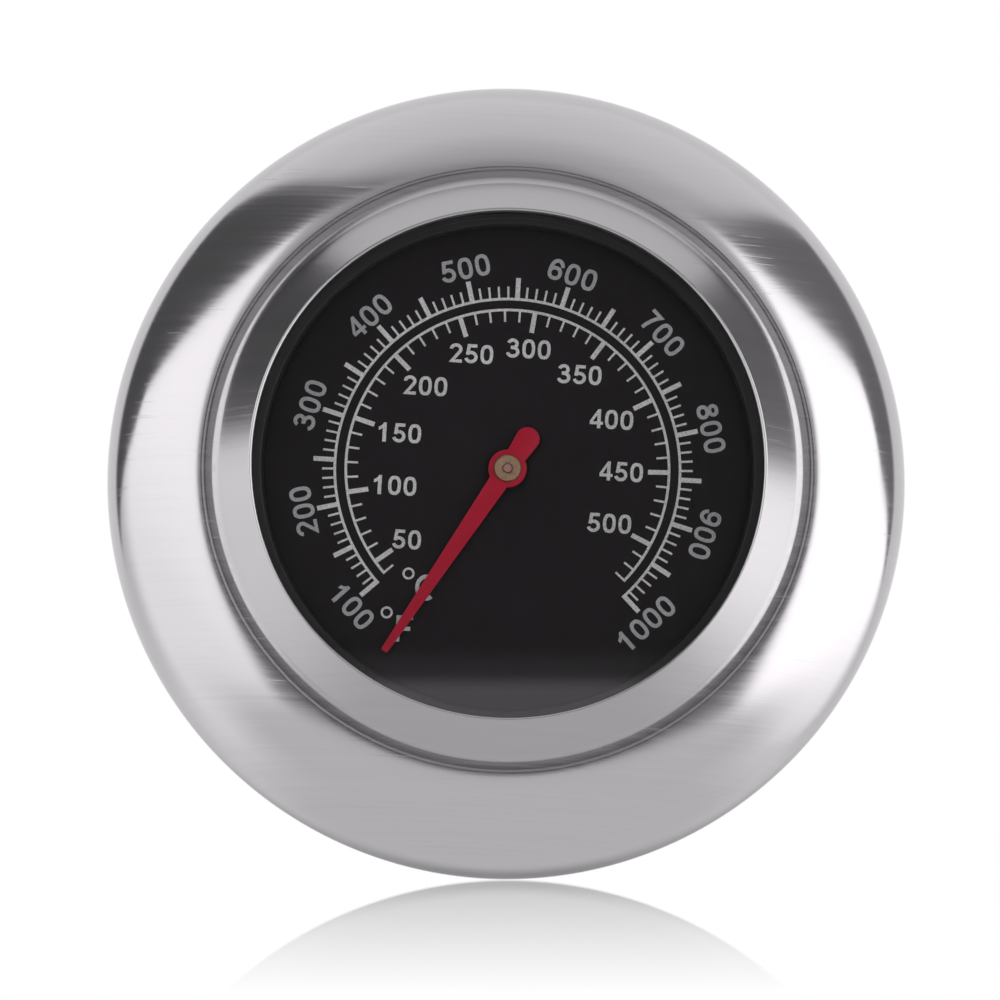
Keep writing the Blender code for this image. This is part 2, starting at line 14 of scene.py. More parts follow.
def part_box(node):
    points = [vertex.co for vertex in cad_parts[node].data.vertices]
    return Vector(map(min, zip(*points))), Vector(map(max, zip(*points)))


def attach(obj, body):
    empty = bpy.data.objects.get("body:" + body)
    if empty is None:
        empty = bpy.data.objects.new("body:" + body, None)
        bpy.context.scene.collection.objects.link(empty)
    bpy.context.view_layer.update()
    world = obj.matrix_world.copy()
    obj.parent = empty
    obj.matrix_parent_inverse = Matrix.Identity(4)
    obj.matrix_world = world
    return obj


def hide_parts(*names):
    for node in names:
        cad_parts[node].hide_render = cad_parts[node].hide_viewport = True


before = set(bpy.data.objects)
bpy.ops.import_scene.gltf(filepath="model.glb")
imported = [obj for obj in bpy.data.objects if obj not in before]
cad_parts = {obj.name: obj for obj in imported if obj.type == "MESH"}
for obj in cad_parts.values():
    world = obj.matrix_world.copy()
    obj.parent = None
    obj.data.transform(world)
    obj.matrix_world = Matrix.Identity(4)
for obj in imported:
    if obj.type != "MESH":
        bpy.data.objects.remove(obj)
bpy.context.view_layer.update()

MM = 0.001


def place(x, y, z):
    """Millimetres in the dial's axes to metres in the frame."""
    return (x * MM, -z * MM, y * MM)


def front_of(node):
    """How far a CAD node reaches towards the viewer, in millimetres."""
    return -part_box(node)[0].y / MM


def back_of(node):
    return -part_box(node)[1].y / MM


# ---------------------------------------------------------------- stage

LEAN_DEG = 8.4
YAW_DEG = -0.8
ROLL_DEG = 3.3
FLOOR_DEG = 5.0
DISTANCE = 3.0
VIEW_WIDTH = 0.09524
AIM = (-0.00058, -0.00156)
RING_CENTRE = Vector(place(0.0, 0.0, 4.0))

lean = math.radians(LEAN_DEG)
yaw = math.radians(YAW_DEG)
roll = Matrix.Rotation(math.radians(-ROLL_DEG), 3, "Y")
cam_back = roll @ Vector((math.sin(yaw) * math.cos(lean), -math.cos(yaw) * math.cos(lean), -math.sin(lean)))
cam_up = roll @ Vector((0.0, 0.0, 1.0))
cam_right = cam_up.cross(cam_back).normalized()
cam_up = cam_back.cross(cam_right).normalized()


def make_camera():
    data = bpy.data.cameras.new("camera")
    data.sensor_width = 36.0
    data.lens = data.sensor_width * DISTANCE / VIEW_WIDTH
    data.clip_start = 0.01
    data.clip_end = 100.0
    camera = bpy.data.objects.new("camera", data)
    bpy.context.scene.collection.objects.link(camera)
    axes = Matrix((cam_right, cam_up, cam_back)).transposed()
    aim = RING_CENTRE + AIM[0] * cam_right + AIM[1] * cam_up
    camera.matrix_world = Matrix.Translation(aim + DISTANCE * cam_back) @ axes.to_4x4()
    bpy.context.scene.camera = camera


class Nodes:
    """A node tree with short calls for the nodes used here."""

    def __init__(self, tree):
        self.tree = tree
        tree.nodes.clear()

    def add(self, kind, inputs=(), out=0, **settings):
        node = self.tree.nodes.new("ShaderNode" + kind)
        for key, value in settings.items():
            setattr(node, key, value)
        for key, value in dict(inputs).items():
            self.put(node.inputs[key], value)
        return node.outputs[out]

    def put(self, socket, value):
        if isinstance(value, bpy.types.NodeSocket):
            self.tree.links.new(value, socket)
        else:
            socket.default_value = value

    def math(self, operation, a, b=0.0):
        return self.add("Math", {0: a, 1: b}, operation=operation)

    def plus(self, a, b):
        return self.math("ADD", a, b)

    def minus(self, a, b):
        return self.math("SUBTRACT", a, b)

    def times(self, a, b):
        return self.math("MULTIPLY", a, b)

    def dot(self, a, vector):
        return self.add("VectorMath", {0: a, 1: vector}, out="Value", operation="DOT_PRODUCT")

    def line(self, value, low, high, start=0.0, end=1.0, kind="LINEAR"):
        """Straight ramp from start to end as the value goes from low to high."""
        ends = {"Value": value, "From Min": low, "From Max": high, "To Min": start, "To Max": end}
        return self.add("MapRange", ends, interpolation_type=kind, clamp=True)

    def ease(self, *ramp):
        """The same ramp as a smooth step."""
        return self.line(*ramp, kind="SMOOTHSTEP")

    def mix(self, factor, a, b):
        """Blend of two numbers."""
        return self.add("Mix", {0: factor, 2: a, 3: b}, data_type="FLOAT")

    def blend(self, factor, a, b):
        """Blend of two colours."""
        return self.add("Mix", {0: factor, 6: a, 7: b}, out=2, data_type="RGBA")

    def coords(self, scale, shift=(0.0, 0.0, 0.0)):
        """The object's own coordinates, in units of 1 m over the scale."""
        here = self.add("TexCoord", out="Object")
        return self.add("Mapping", {"Vector": here, "Scale": scale, "Location": shift})

    def noise(self, vector, detail, rough=0.5):
        put = {"Vector": vector, "Scale": 1.0, "Detail": detail, "Roughness": rough}
        return self.add("TexNoise", put, out="Fac")

    def bump(self, height, strength, distance=0.0001):
        return self.add("Bump", {"Height": height, "Strength": strength, "Distance": distance})


def ceiling_light(n, boom, w):
    """Brightest overhead and dimmer towards the camera, with a boom arm over the camera."""
    ceiling = n.plus(n.line(w, 0.80, 0.40, 0.50, 0.72), n.line(w, 0.40, -1.0, 0.0, 0.18))
    return n.minus(ceiling, n.times(boom, 0.18))


def table_light(n, rise, w):
    """A pale table, lighter towards the side panels that stand on it."""
    glow = n.times(n.ease(rise, -0.45, 0.05), n.line(w, 0.6, 0.0, 0.0, 0.24))
    return n.plus(0.66, glow)


def panel_light(n, right, side, boom, v, w):
    """A bright panel on each side; beside the camera they stop short and leave it in the dark."""
    panel_right = n.mix(n.ease(w, -0.38, -0.75), 1.65, 0.80)
    panel_left = n.mix(n.ease(w, -0.10, -0.58), n.line(v, -0.1, 0.5, 1.11, 1.42), 0.68)
    panel = n.mix(right, panel_left, panel_right)
    inner = n.mix(right, 0.195, 0.257)
    slant = n.times(n.math("MINIMUM", n.minus(v, 0.172), 0.0), 0.62)
    inside = n.plus(n.minus(side, inner), slant)
    camera_side = n.line(v, 0.26, 0.34, 0.15, n.minus(0.52, n.times(boom, 0.18)))
    return n.mix(n.ease(inside, -0.045, 0.045), camera_side, panel)


def above_panels(n, right, side, v, w):
    """1 above the panels' straight top edges, 0 below them."""
    top_right = n.plus(n.times(side, 0.44), n.times(w, 0.515))
    top_right = n.minus(top_right, n.ease(w, 0.06, -0.17, 0.0, 0.23))
    top_left = n.plus(n.times(side, 0.41), n.times(w, 0.57))
    top_left = n.minus(top_left, n.ease(w, 0.0, -0.17, 0.0, 0.07))
    return n.ease(n.minus(v, n.mix(right, top_left, top_right)), -0.02, 0.02)


def past_ceiling(n, right, side, v, w):
    """1 in the dark gaps outside the ceiling's side edges, 0 under the ceiling."""
    risen = n.times(v, n.mix(right, 0.577, 0.79))
    edge = n.plus(risen, n.times(w, n.mix(right, -0.30, -0.25)))
    return n.ease(n.minus(side, edge), -0.03, 0.04)


def studio_light(n, u, v, w):
    """Radiance seen along a direction: u right, v up, w back towards the camera."""
    side = n.math("ABSOLUTE", u)
    right = n.ease(u, -0.05, 0.05)
    boom = n.times(n.ease(side, 0.15, 0.05), n.ease(w, 0.81, 0.88))
    rise = n.plus(v, n.times(side, 0.75))
    foot = n.math("MAXIMUM", n.minus(v, 0.09), n.minus(rise, 0.17))
    foot = n.math("DIVIDE", foot, n.line(w, 0.92, 0.0, 0.04, 0.38))
    low = n.mix(n.ease(foot, -1.0, 1.0), table_light(n, rise, w), panel_light(n, right, side, boom, v, w))
    gap = n.mix(right, 0.09, 0.17)
    over = n.mix(past_ceiling(n, right, side, v, w), ceiling_light(n, boom, w), gap)
    is_above = above_panels(n, right, side, v, w)
    light = n.mix(is_above, low, over)
    # behind the object all is pale, but for the table just under it
    rear_above = n.ease(w, n.mix(right, -0.58, -0.52), n.mix(right, -0.68, -0.62))
    rear = n.mix(is_above, n.ease(w, -0.45, -0.85), rear_above)
    under = n.times(n.ease(side, 0.50, 0.05), n.ease(v, -0.12, -0.35))
    behind = n.mix(under, n.mix(n.ease(v, -0.3, 0.0), 0.71, 0.77), 0.34)
    return n.mix(rear, light, behind)


def make_world():
    """A plain studio as a function of direction: ceiling, two side panels, dark gaps, pale table."""
    world = bpy.data.worlds.new("studio")
    world.use_nodes = True
    bpy.context.scene.world = world
    n = Nodes(world.node_tree)
    way = n.add("TexCoord", out="Generated")
    w = n.dot(way, cam_back)
    light = studio_light(n, n.dot(way, cam_right), n.dot(way, cam_up), w)
    light = n.mix(n.ease(w, -0.95, -0.985), light, 1.0)
    # the camera stands where the flat glass mirrors it, and is dark
    facing = Vector((0.0, -1.0, 0.0))
    mirrored = 2.0 * facing.dot(cam_back) * facing - cam_back
    near = n.dot(way, mirrored)
    light = n.mix(n.ease(near, math.cos(math.radians(6.5)), math.cos(math.radians(4.5))), light, 0.05)
    seen = n.add("LightPath", out="Is Camera Ray")
    shade = n.add("Background", {"Color": (1.0, 1.0, 1.0, 1.0), "Strength": n.mix(seen, light, 1.0)})
    out = n.tree.nodes.new("ShaderNodeOutputWorld")
    n.tree.links.new(shade, out.inputs["Surface"])


def finish_tree(n, surface):
    out = n.tree.nodes.new("ShaderNodeOutputMaterial")
    n.tree.links.new(surface, out.inputs["Surface"])


def new_material(name):
    made = bpy.data.materials.new(name)
    made.use_nodes = True
    return made, Nodes(made.node_tree)


# ---------------------------------------------------------------- mesh tools


def body_of(name, points, faces, skin):
    """An object from points in metres, its faces turned outwards."""
    mesh = bpy.data.meshes.new(name)
    mesh.from_pydata(points, [], faces)
    shell = bmesh.new()
    shell.from_mesh(mesh)
    bmesh.ops.recalc_face_normals(shell, faces=shell.faces)
    shell.to_mesh(mesh)
    shell.free()
    mesh.materials.append(skin)
    thing = bpy.data.objects.new(name, mesh)
    bpy.context.scene.collection.objects.link(thing)
    return thing


def solid(name, points, faces, skin, smooth_deg=30.0):
    """A smooth-shaded object from points in millimetres in the dial's axes."""
    return smooth(body_of(name, [place(*p) for p in points], faces, skin), smooth_deg)


def smooth(thing, smooth_deg=30.0):
    mesh = thing.data
    mesh.polygons.foreach_set("use_smooth", [True] * len(mesh.polygons))
    mesh.set_sharp_from_angle(angle=math.radians(smooth_deg))
    mesh.update()
    return thing


def loft(name, rings, closed, skin, smooth_deg=30.0):
    """Skin a row of equal rings; it closes on itself or gets a cap at each end."""
    count = len(rings[0])
    points = [point for ring in rings for point in ring]
    faces = []
    for i in range(len(rings) if closed else len(rings) - 1):
        below = i * count
        above = (i + 1) % len(rings) * count
        for j in range(count):
            k = (j + 1) % count
            faces.append((below + j, below + k, above + k, above + j))
    if not closed:
        faces.append(tuple(reversed(range(count))))
        faces.append(tuple(range((len(rings) - 1) * count, len(rings) * count)))
    return solid(name, points, faces, skin, smooth_deg)


def circle(radius, height, facets):
    turn = 2.0 * math.pi / facets
    return [(radius * math.cos(turn * j), radius * math.sin(turn * j), height) for j in range(facets)]


def turned(name, profile, facets, skin, closed=True, smooth_deg=30.0):
    """A lathe-turned piece from its (radius, height) profile."""
    return loft(name, [circle(r, z, facets) for r, z in profile], closed, skin, smooth_deg)


def arc(centre, radii, start_deg, end_deg, steps):
    points = []
    for k in range(steps + 1):
        angle = math.radians(start_deg + (end_deg - start_deg) * k / steps)
        points.append((centre[0] + radii[0] * math.cos(angle), centre[1] + radii[1] * math.sin(angle)))
    return points


def rounded_ring(inner, outer, bottom, top, edge, steps=3):
    """A ring's section with all four edges rounded."""
    corners = ((outer - edge, bottom + edge, -90), (outer - edge, top - edge, 0),
               (inner + edge, top - edge, 90), (inner + edge, bottom + edge, 180))
    profile = []
    for r, z, start in corners:
        profile += arc((r, z), (edge, edge), start, start + 90, steps)
    return profile


def plate(name, faces_2d, points_2d, bottom, top, skin):
    """A flat figure, given as 2-D faces on shared points, thickened into a closed solid."""
    count = len(points_2d)
    points = [(x, y, bottom) for x, y in points_2d] + [(x, y, top) for x, y in points_2d]
    edges = {}
    for face in faces_2d:
        for i, a in enumerate(face):
            b = face[(i + 1) % len(face)]
            edges[(a, b)] = edges.get((a, b), 0) + 1
    faces = [tuple(reversed(face)) for face in faces_2d]
    faces += [tuple(i + count for i in face) for face in faces_2d]
    for a, b in edges:
        if (b, a) not in edges:
            faces.append((a, b, b + count, a + count))
    return solid(name, points, faces, skin)


def settle(piece, body, node):
    """A piece that stands for a CAD node and rides on its body, the node itself hidden."""
    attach(piece, body)
    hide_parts(node)


# ---------------------------------------------------------------- materials


def metal(name, colour, roughness, grain=(60.0, 60.0, 60.0), grain_depth=0.1, spread=0.06, tone=0.05):
    """Bare metal with a grain in its roughness, tone and surface."""
    made, n = new_material(name)
    fine = n.noise(n.coords(grain), 4.0, 0.6)
    broad = n.noise(n.coords((70.0, 70.0, 70.0), (3.1, 1.7, 0.4)), 2.0)
    rough = n.plus(n.line(fine, 0.3, 0.7, roughness - spread, roughness + spread),
                   n.line(broad, 0.3, 0.7, -spread * 0.4, spread * 0.4))
    darker = tuple(c * (1.0 - tone) for c in colour) + (1.0,)
    shade = n.blend(n.line(fine, 0.25, 0.75), darker, tuple(colour) + (1.0,))
    put = {"Base Color": shade, "Metallic": 1.0, "Roughness": rough, "Normal": n.bump(fine, grain_depth)}
    finish_tree(n, n.add("BsdfPrincipled", put))
    return made


def coating(name, colour, roughness, speck=0.1, speck_scale=2500.0, shine=0.12, depth=0.15):
    """Paint, print, rubber or plastic: a little uneven in tone and gloss."""
    made, n = new_material(name)
    grain = n.noise(n.coords((speck_scale,) * 3), 3.0, 0.65)
    cloud = n.noise(n.coords((120.0, 120.0, 120.0), (5.0, 2.0, 1.0)), 2.0)
    darker = tuple(c * (1.0 - speck) for c in colour) + (1.0,)
    lighter = tuple(min(1.0, c * (1.0 + speck)) for c in colour) + (1.0,)
    mottle = n.plus(n.times(grain, 0.7), n.times(cloud, 0.3))
    shade = n.blend(n.line(mottle, 0.3, 0.7), darker, lighter)
    put = {"Base Color": shade, "Roughness": n.line(grain, 0.2, 0.8, roughness - 0.06, roughness + 0.06),
           "Specular IOR Level": shine, "Normal": n.bump(grain, depth, 0.00002)}
    finish_tree(n, n.add("BsdfPrincipled", put))
    return made


def glass_material():
    """Clear glass with a trace of smear; its shadow is left out by the piece itself."""
    made, n = new_material("glass")
    smear = n.noise(n.coords((45.0, 45.0, 45.0)), 2.0)
    mirror = n.add("BsdfGlossy", {"Roughness": n.line(smear, 0.35, 0.75, 0.0, 0.012)})
    clear = n.add("BsdfTransparent", {"Color": (0.990, 0.985, 0.990, 1.0)})
    facing = n.add("Fresnel", {"IOR": 1.5})
    finish_tree(n, n.add("MixShader", {0: facing, 1: clear, 2: mirror}))
    return made


# ---------------------------------------------------------------- bezel

SHEET = 0.7
LIP_RADIUS = 24.3
LIP_ROUND = 0.2
LIP_CROWN_Z = 17.0
SHOULDER = 0.2
CONE_SLOPE_DEG = 50.0
COVE = 1.0
SHELF_SLOPE_DEG = 3.0
SHELF_OUTER = 28.8
STEP = 0.03
DOME_EDGE = 29.1
DOME_CENTRE = 28.4
DOME_TOP_Z = 13.3
BEZEL_RADIUS = 38.0
WIDEST_Z = 4.0
HEM_BEND_START = 35.4
HEM_INNER_RADIUS = 33.8
POCKET_TOP_Z = 16.0
POCKET_FLOOR_Z = 12.6
# Bands of radius where painted shade, with some grime, darkens the bezel: the crease at the cone's foot and
# the seam at the step
CREASE = ((27.6, 28.15), (28.6, 28.15))
SEAM = ((28.82, 28.92), (29.08, 28.98))
FINE = 288


def soften(before, corner, after, size, steps=6):
    """A rounded corner between two straight runs."""
    points = []
    starts = []
    for end in (before, after):
        length = math.dist(corner, end)
        starts.append([corner[i] + (end[i] - corner[i]) * size / length for i in (0, 1)])
    for k in range(steps + 1):
        t = k / steps
        points.append(tuple((1 - t) ** 2 * starts[0][i] + 2 * t * (1 - t) * corner[i] + t * t * starts[1][i]
                            for i in (0, 1)))
    return points


def dome_arc(inset, start_deg, end_deg, steps):
    size = (BEZEL_RADIUS - DOME_CENTRE - inset, DOME_TOP_Z - WIDEST_Z - inset)
    return arc((DOME_CENTRE, WIDEST_Z), size, start_deg, end_deg, steps)


def bezel_profile():
    crown = LIP_RADIUS + LIP_ROUND
    slope = math.radians(CONE_SLOPE_DEG)
    shelf = math.radians(SHELF_SLOPE_DEG)
    edge_deg = math.degrees(math.acos((DOME_EDGE - DOME_CENTRE) / (BEZEL_RADIUS - DOME_CENTRE)))
    edge = dome_arc(0.0, edge_deg, 0.0, 1)[0]
    cone_top = (crown + SHOULDER * math.sin(slope), LIP_CROWN_Z - SHOULDER * (1.0 - math.cos(slope)))
    # the cove joins the cone to the shelf, which falls gently to the step
    shelf_end = (SHELF_OUTER, edge[1] - STEP)
    drop = cone_top[1] - shelf_end[1] - SHELF_OUTER * math.tan(shelf) + cone_top[0] * math.tan(shelf)
    foot = cone_top[0] + drop / (math.tan(slope) - math.tan(shelf))
    foot = (foot, cone_top[1] - (foot - cone_top[0]) * math.tan(slope))
    reach = COVE * math.tan((slope - shelf) / 2.0)
    outside = [(LIP_RADIUS, POCKET_TOP_Z)]
    outside += arc((crown, LIP_CROWN_Z - LIP_ROUND), (LIP_ROUND, LIP_ROUND), 180, 90, 8)
    outside += arc((crown, LIP_CROWN_Z - SHOULDER), (SHOULDER, SHOULDER), 90, 90 - CONE_SLOPE_DEG, 8)[1:]
    outside += soften(cone_top, foot, shelf_end, reach, 12)
    outside += soften(foot, shelf_end, edge, 0.12)
    dome = dome_arc(0.0, edge_deg, 0.0, 72)
    outside += soften(shelf_end, edge, dome[2], 0.1)
    outside += dome[1:]
    outside += arc((HEM_BEND_START, WIDEST_Z), (BEZEL_RADIUS - HEM_BEND_START, WIDEST_Z), 0, -90, 20)[1:]
    outside += arc((HEM_INNER_RADIUS + SHEET / 2.0, SHEET / 2.0), (SHEET / 2.0, SHEET / 2.0), 270, 90, 8)
    wall = BEZEL_RADIUS - SHEET
    inside = arc((HEM_BEND_START, WIDEST_Z), (wall - HEM_BEND_START, WIDEST_Z - SHEET), -90, 0, 16)
    inside += dome_arc(SHEET, 0.0, edge_deg, 32)[1:]
    under = cone_top[0] - SHEET / math.sin(slope)
    for z in (POCKET_FLOOR_Z, POCKET_TOP_Z):
        inside.append((under + (cone_top[1] - z) / math.tan(slope), z))
    return outside + inside


def bezel_steel():
    """Linear-brushed stainless: fine straight grain across the face, rougher on the cone, in the crease
    where it meets the shelf and in the seam at the step; there painted shade darkens its colour, with some
    grime in the crease and seam.
    """
    made, n = new_material("bezel_brushed")
    fine = n.noise(n.coords((40.0, 60.0, 4200.0)), 3.0, 0.7)
    coarse = n.noise(n.coords((18.0, 40.0, 1300.0), (2.0, 7.0, 1.0)), 2.0, 0.6)
    grain = n.plus(n.times(fine, 0.6), n.times(coarse, 0.4))
    patch = n.noise(n.coords((30.0, 30.0, 60.0), (0.3, 4.0, 9.0)), 2.0)
    scratch = n.noise(n.coords((160.0, 160.0, 9000.0), (8.0, 1.0, 3.0)), 0.0)
    scored = n.ease(scratch, 0.78, 0.86)
    flat = n.coords((1000.0, 0.0, 1000.0))
    radius = n.add("VectorMath", {0: flat}, out="Value", operation="LENGTH")
    ragged = n.plus(radius, n.line(coarse, 0.3, 0.7, -0.06, 0.06))
    depth = n.add("SeparateXYZ", {"Vector": n.coords((1000.0, 1000.0, 1000.0))}, out="Y")
    front = n.ease(depth, -12.8, -13.0)
    # painted shade, with some grime: the crease at the cone's foot and the seam at the step are darkened in
    # colour and made rougher
    crease = n.times(n.ease(ragged, *CREASE[0]), n.ease(ragged, *CREASE[1]))
    seam = n.times(n.ease(ragged, *SEAM[0]), n.ease(ragged, *SEAM[1]))
    dull_and_painted_shade = n.plus(n.times(crease, 0.25), n.times(seam, 0.3))
    # painted shade: inside a radius of 28.1 mm the front's colour is darkened by up to 0.21, standing for
    # the self-occlusion of the cone's reflections; it is also a little rougher there
    dull_and_painted_shade = n.times(n.plus(dull_and_painted_shade, n.ease(radius, 28.1, 27.6, 0.0, 0.21)), front)
    rough = n.plus(n.line(grain, 0.3, 0.7, 0.10, 0.17), n.line(patch, 0.3, 0.7, -0.01, 0.02))
    rough = n.plus(rough, n.times(dull_and_painted_shade, 0.3))
    tone = n.times(n.line(grain, 0.3, 0.7, 0.95, 1.0), n.minus(1.0, dull_and_painted_shade))
    shade = n.blend(tone, (0.0, 0.0, 0.0, 1.0), (0.665, 0.642, 0.670, 1.0))
    height = n.minus(grain, n.times(scored, 1.5))
    put = {"Base Color": shade, "Metallic": 1.0, "Roughness": rough, "Anisotropic": 0.5,
           "Tangent": n.add("CombineXYZ", {"X": 0.0, "Y": 0.0, "Z": 1.0}),
           "Normal": n.bump(height, 0.10, 0.00003)}
    finish_tree(n, n.add("BsdfPrincipled", put))
    return made


def make_bezel():
    steel = bezel_steel()
    bezel = turned("bezel_shell", bezel_profile(), FINE, steel, smooth_deg=25.0)
    settle(bezel, "case", "outer_bezel")


# ---------------------------------------------------------------- lens stack and dial

GASKET = (24.35, 24.58)
GASKET_ROUND = 0.1
LENS_RADIUS = 24.9
LENS_CHAMFER = 0.12
SPACER = (23.2, 25.6)
SPACER_ROUND = 0.35
DIAL = (1.7, 26.6)
DIAL_ROUND = 0.06


def make_gasket():
    rubber = coating("gasket_silicone", (0.022, 0.022, 0.023), 0.6)
    section = rounded_ring(*GASKET, back_of("lens_gasket"), front_of("lens_gasket"), GASKET_ROUND)
    settle(turned("lens_gasket_ring", section, FINE, rubber), "case", "lens_gasket")


def make_lens():
    bottom, top = back_of("glass_lens"), front_of("glass_lens")
    flat = LENS_RADIUS - LENS_CHAMFER
    section = [(flat, bottom), (LENS_RADIUS, bottom + LENS_CHAMFER)]
    section += [(LENS_RADIUS, top - LENS_CHAMFER), (flat, top)]
    lens = turned("lens", section, FINE, glass_material(), closed=False)
    lens.visible_shadow = False
    settle(lens, "case", "glass_lens")


def make_spacer():
    black = coating("spacer_satin", (0.016, 0.016, 0.017), 0.32, shine=0.3)
    bottom, top = back_of("spacer_ring"), front_of("spacer_ring")
    inner, outer = SPACER
    section = [(inner, bottom), (outer, bottom), (outer, top), (inner + SPACER_ROUND, top)]
    section += arc((inner + SPACER_ROUND, top - SPACER_ROUND), (SPACER_ROUND, SPACER_ROUND), 90, 180, 5)[1:]
    settle(turned("spacer", section, FINE, black), "case", "spacer_ring")


def make_dial():
    black = coating("dial_paint", (0.0122, 0.0102, 0.0120), 0.5, speck=0.12)
    bottom, top = back_of("dial_plate"), front_of("dial_plate")
    section = rounded_ring(*DIAL, bottom, top, DIAL_ROUND, 2)
    settle(turned("dial", section, FINE, black), "case", "dial_plate")


# The scales: degrees are clockwise from the dial's top
SWEEP = 135.0
F_FIRST, F_LAST = 100, 1000
F_ARC, F_MINOR, F_MAJOR = 16.4, 17.6, 18.45
C_ARC, C_MINOR, C_MAJOR = 15.35, 14.2, 13.35
ARC_WIDTH = 0.25
MINOR_WIDTH = 0.2
MAJOR_WIDTH = 0.45
ARC_STEP_DEG = 1.5
INK = 0.02


def f_angle(f):
    return -SWEEP + (f - F_FIRST) * 2.0 * SWEEP / (F_LAST - F_FIRST)


def c_angle(c):
    return f_angle(c * 1.8 + 32.0)


def spot(radius, clockwise_deg):
    a = math.radians(clockwise_deg)
    return radius * math.sin(a), radius * math.cos(a)


def tick_spans(ticks, radius):
    """Where each tick starts and ends along the arc; the first and last stay inside its ends."""
    spans = []
    for angle, end, width in ticks:
        half = math.degrees(width / 2.0 / radius)
        first, last = angle - half, angle + half
        if angle <= ticks[0][0]:
            first, last = angle, angle + 2.0 * half
        if angle >= ticks[-1][0]:
            first, last = angle - 2.0 * half, angle
        spans.append((first, last, end))
    return spans


def make_scale(name, arc_radius, ticks, skin):
    """An arc and its ticks as one figure; each tick is (angle, end radius, width)."""
    half_arc = math.copysign(ARC_WIDTH / 2.0, ticks[0][1] - arc_radius)
    near, far = arc_radius + half_arc, arc_radius - half_arc
    points, faces = [], []

    def pair(angle):
        points.extend((spot(far, angle), spot(near, angle)))
        return len(points) - 2

    left, left_deg = None, None
    for first, last, end in tick_spans(ticks, near):
        a = pair(first)
        b = pair(last)
        if left is not None:
            steps = max(1, round((first - left_deg) / ARC_STEP_DEG))
            for k in range(1, steps):
                middle = pair(left_deg + (first - left_deg) * k / steps)
                faces.append((left, left + 1, middle + 1, middle))
                left = middle
            faces.append((left, left + 1, a + 1, a))
        faces.append((a, a + 1, b + 1, b))
        centre = math.radians((first + last) / 2.0)
        along = (math.sin(centre), math.cos(centre))
        base = len(points)
        for corner in (a + 1, b + 1):
            x, y = points[corner]
            reach = end - (x * along[0] + y * along[1])
            points.append((x + along[0] * reach, y + along[1] * reach))
        faces.append((a + 1, base, base + 1, b + 1))
        left, left_deg = b, last
    top = front_of("dial_plate")
    piece = plate(name, faces, points, top - INK, top + INK, skin)
    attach(piece, "case")


def make_scales(ink):
    ticks = []
    for f in range(F_FIRST, F_LAST + 1, 10):
        major = f % 50 == 0
        ticks.append((f_angle(f), F_MAJOR if major else F_MINOR, MAJOR_WIDTH if major else MINOR_WIDTH))
    make_scale("scale_fahrenheit", F_ARC, ticks, ink)
    ticks = []
    for c in range(40, 531, 10):
        major = c % 50 == 0
        ticks.append((c_angle(c), C_MAJOR if major else C_MINOR, MAJOR_WIDTH if major else MINOR_WIDTH))
    make_scale("scale_celsius", C_ARC, ticks, ink)


# Figures are drawn in units of their own height, from the bottom left, with a pen of this width
PEN = 0.17
FIGURE_WIDTH = 0.66
FIGURE_ADVANCE = 0.80
RING_FACETS = 48
# Shapes of one figure that cross each other differ in height by this, so no two faces coincide
PATCH = 0.006


def pen_stroke(path, width=PEN):
    """Outline of a pen line along an open path, mitred at its corners."""
    sides = ([], [])
    for k, here in enumerate(path):
        before = path[max(k - 1, 0)]
        after = path[min(k + 1, len(path) - 1)]
        ways = []
        for start, end in ((before, here), (here, after)):
            length = math.dist(start, end)
            if length > 1e-9:
                ways.append(((end[0] - start[0]) / length, (end[1] - start[1]) / length))
        across = [sum(-way[1] for way in ways), sum(way[0] for way in ways)]
        length = math.hypot(*across)
        across = [across[0] / length, across[1] / length]
        stretch = 1.0 / max(0.5, -ways[0][1] * across[0] + ways[0][0] * across[1])
        for side, sign in zip(sides, (1.0, -1.0)):
            reach = sign * width / 2.0 * stretch
            side.append((here[0] + across[0] * reach, here[1] + across[1] * reach))
    return [sides[0] + sides[1][::-1]]


def pen_ring(centre, size, width=PEN, power=2.2):
    """Outline and hole of a closed oval; size is the middle of the pen line."""
    loops = []
    for grow in (width / 2.0, -width / 2.0):
        loop = []
        for k in range(RING_FACETS):
            a = 2.0 * math.pi * k / RING_FACETS
            c, d = math.cos(a), math.sin(a)
            x = math.copysign(abs(c) ** (2.0 / power), c)
            y = math.copysign(abs(d) ** (2.0 / power), d)
            loop.append((centre[0] + x * (size[0] + grow), centre[1] + y * (size[1] + grow)))
        loops.append(loop)
    return loops


def half_turn(shapes):
    return [[[(FIGURE_WIDTH - x, 1.0 - y) for x, y in loop] for loop in shape] for shape in shapes]


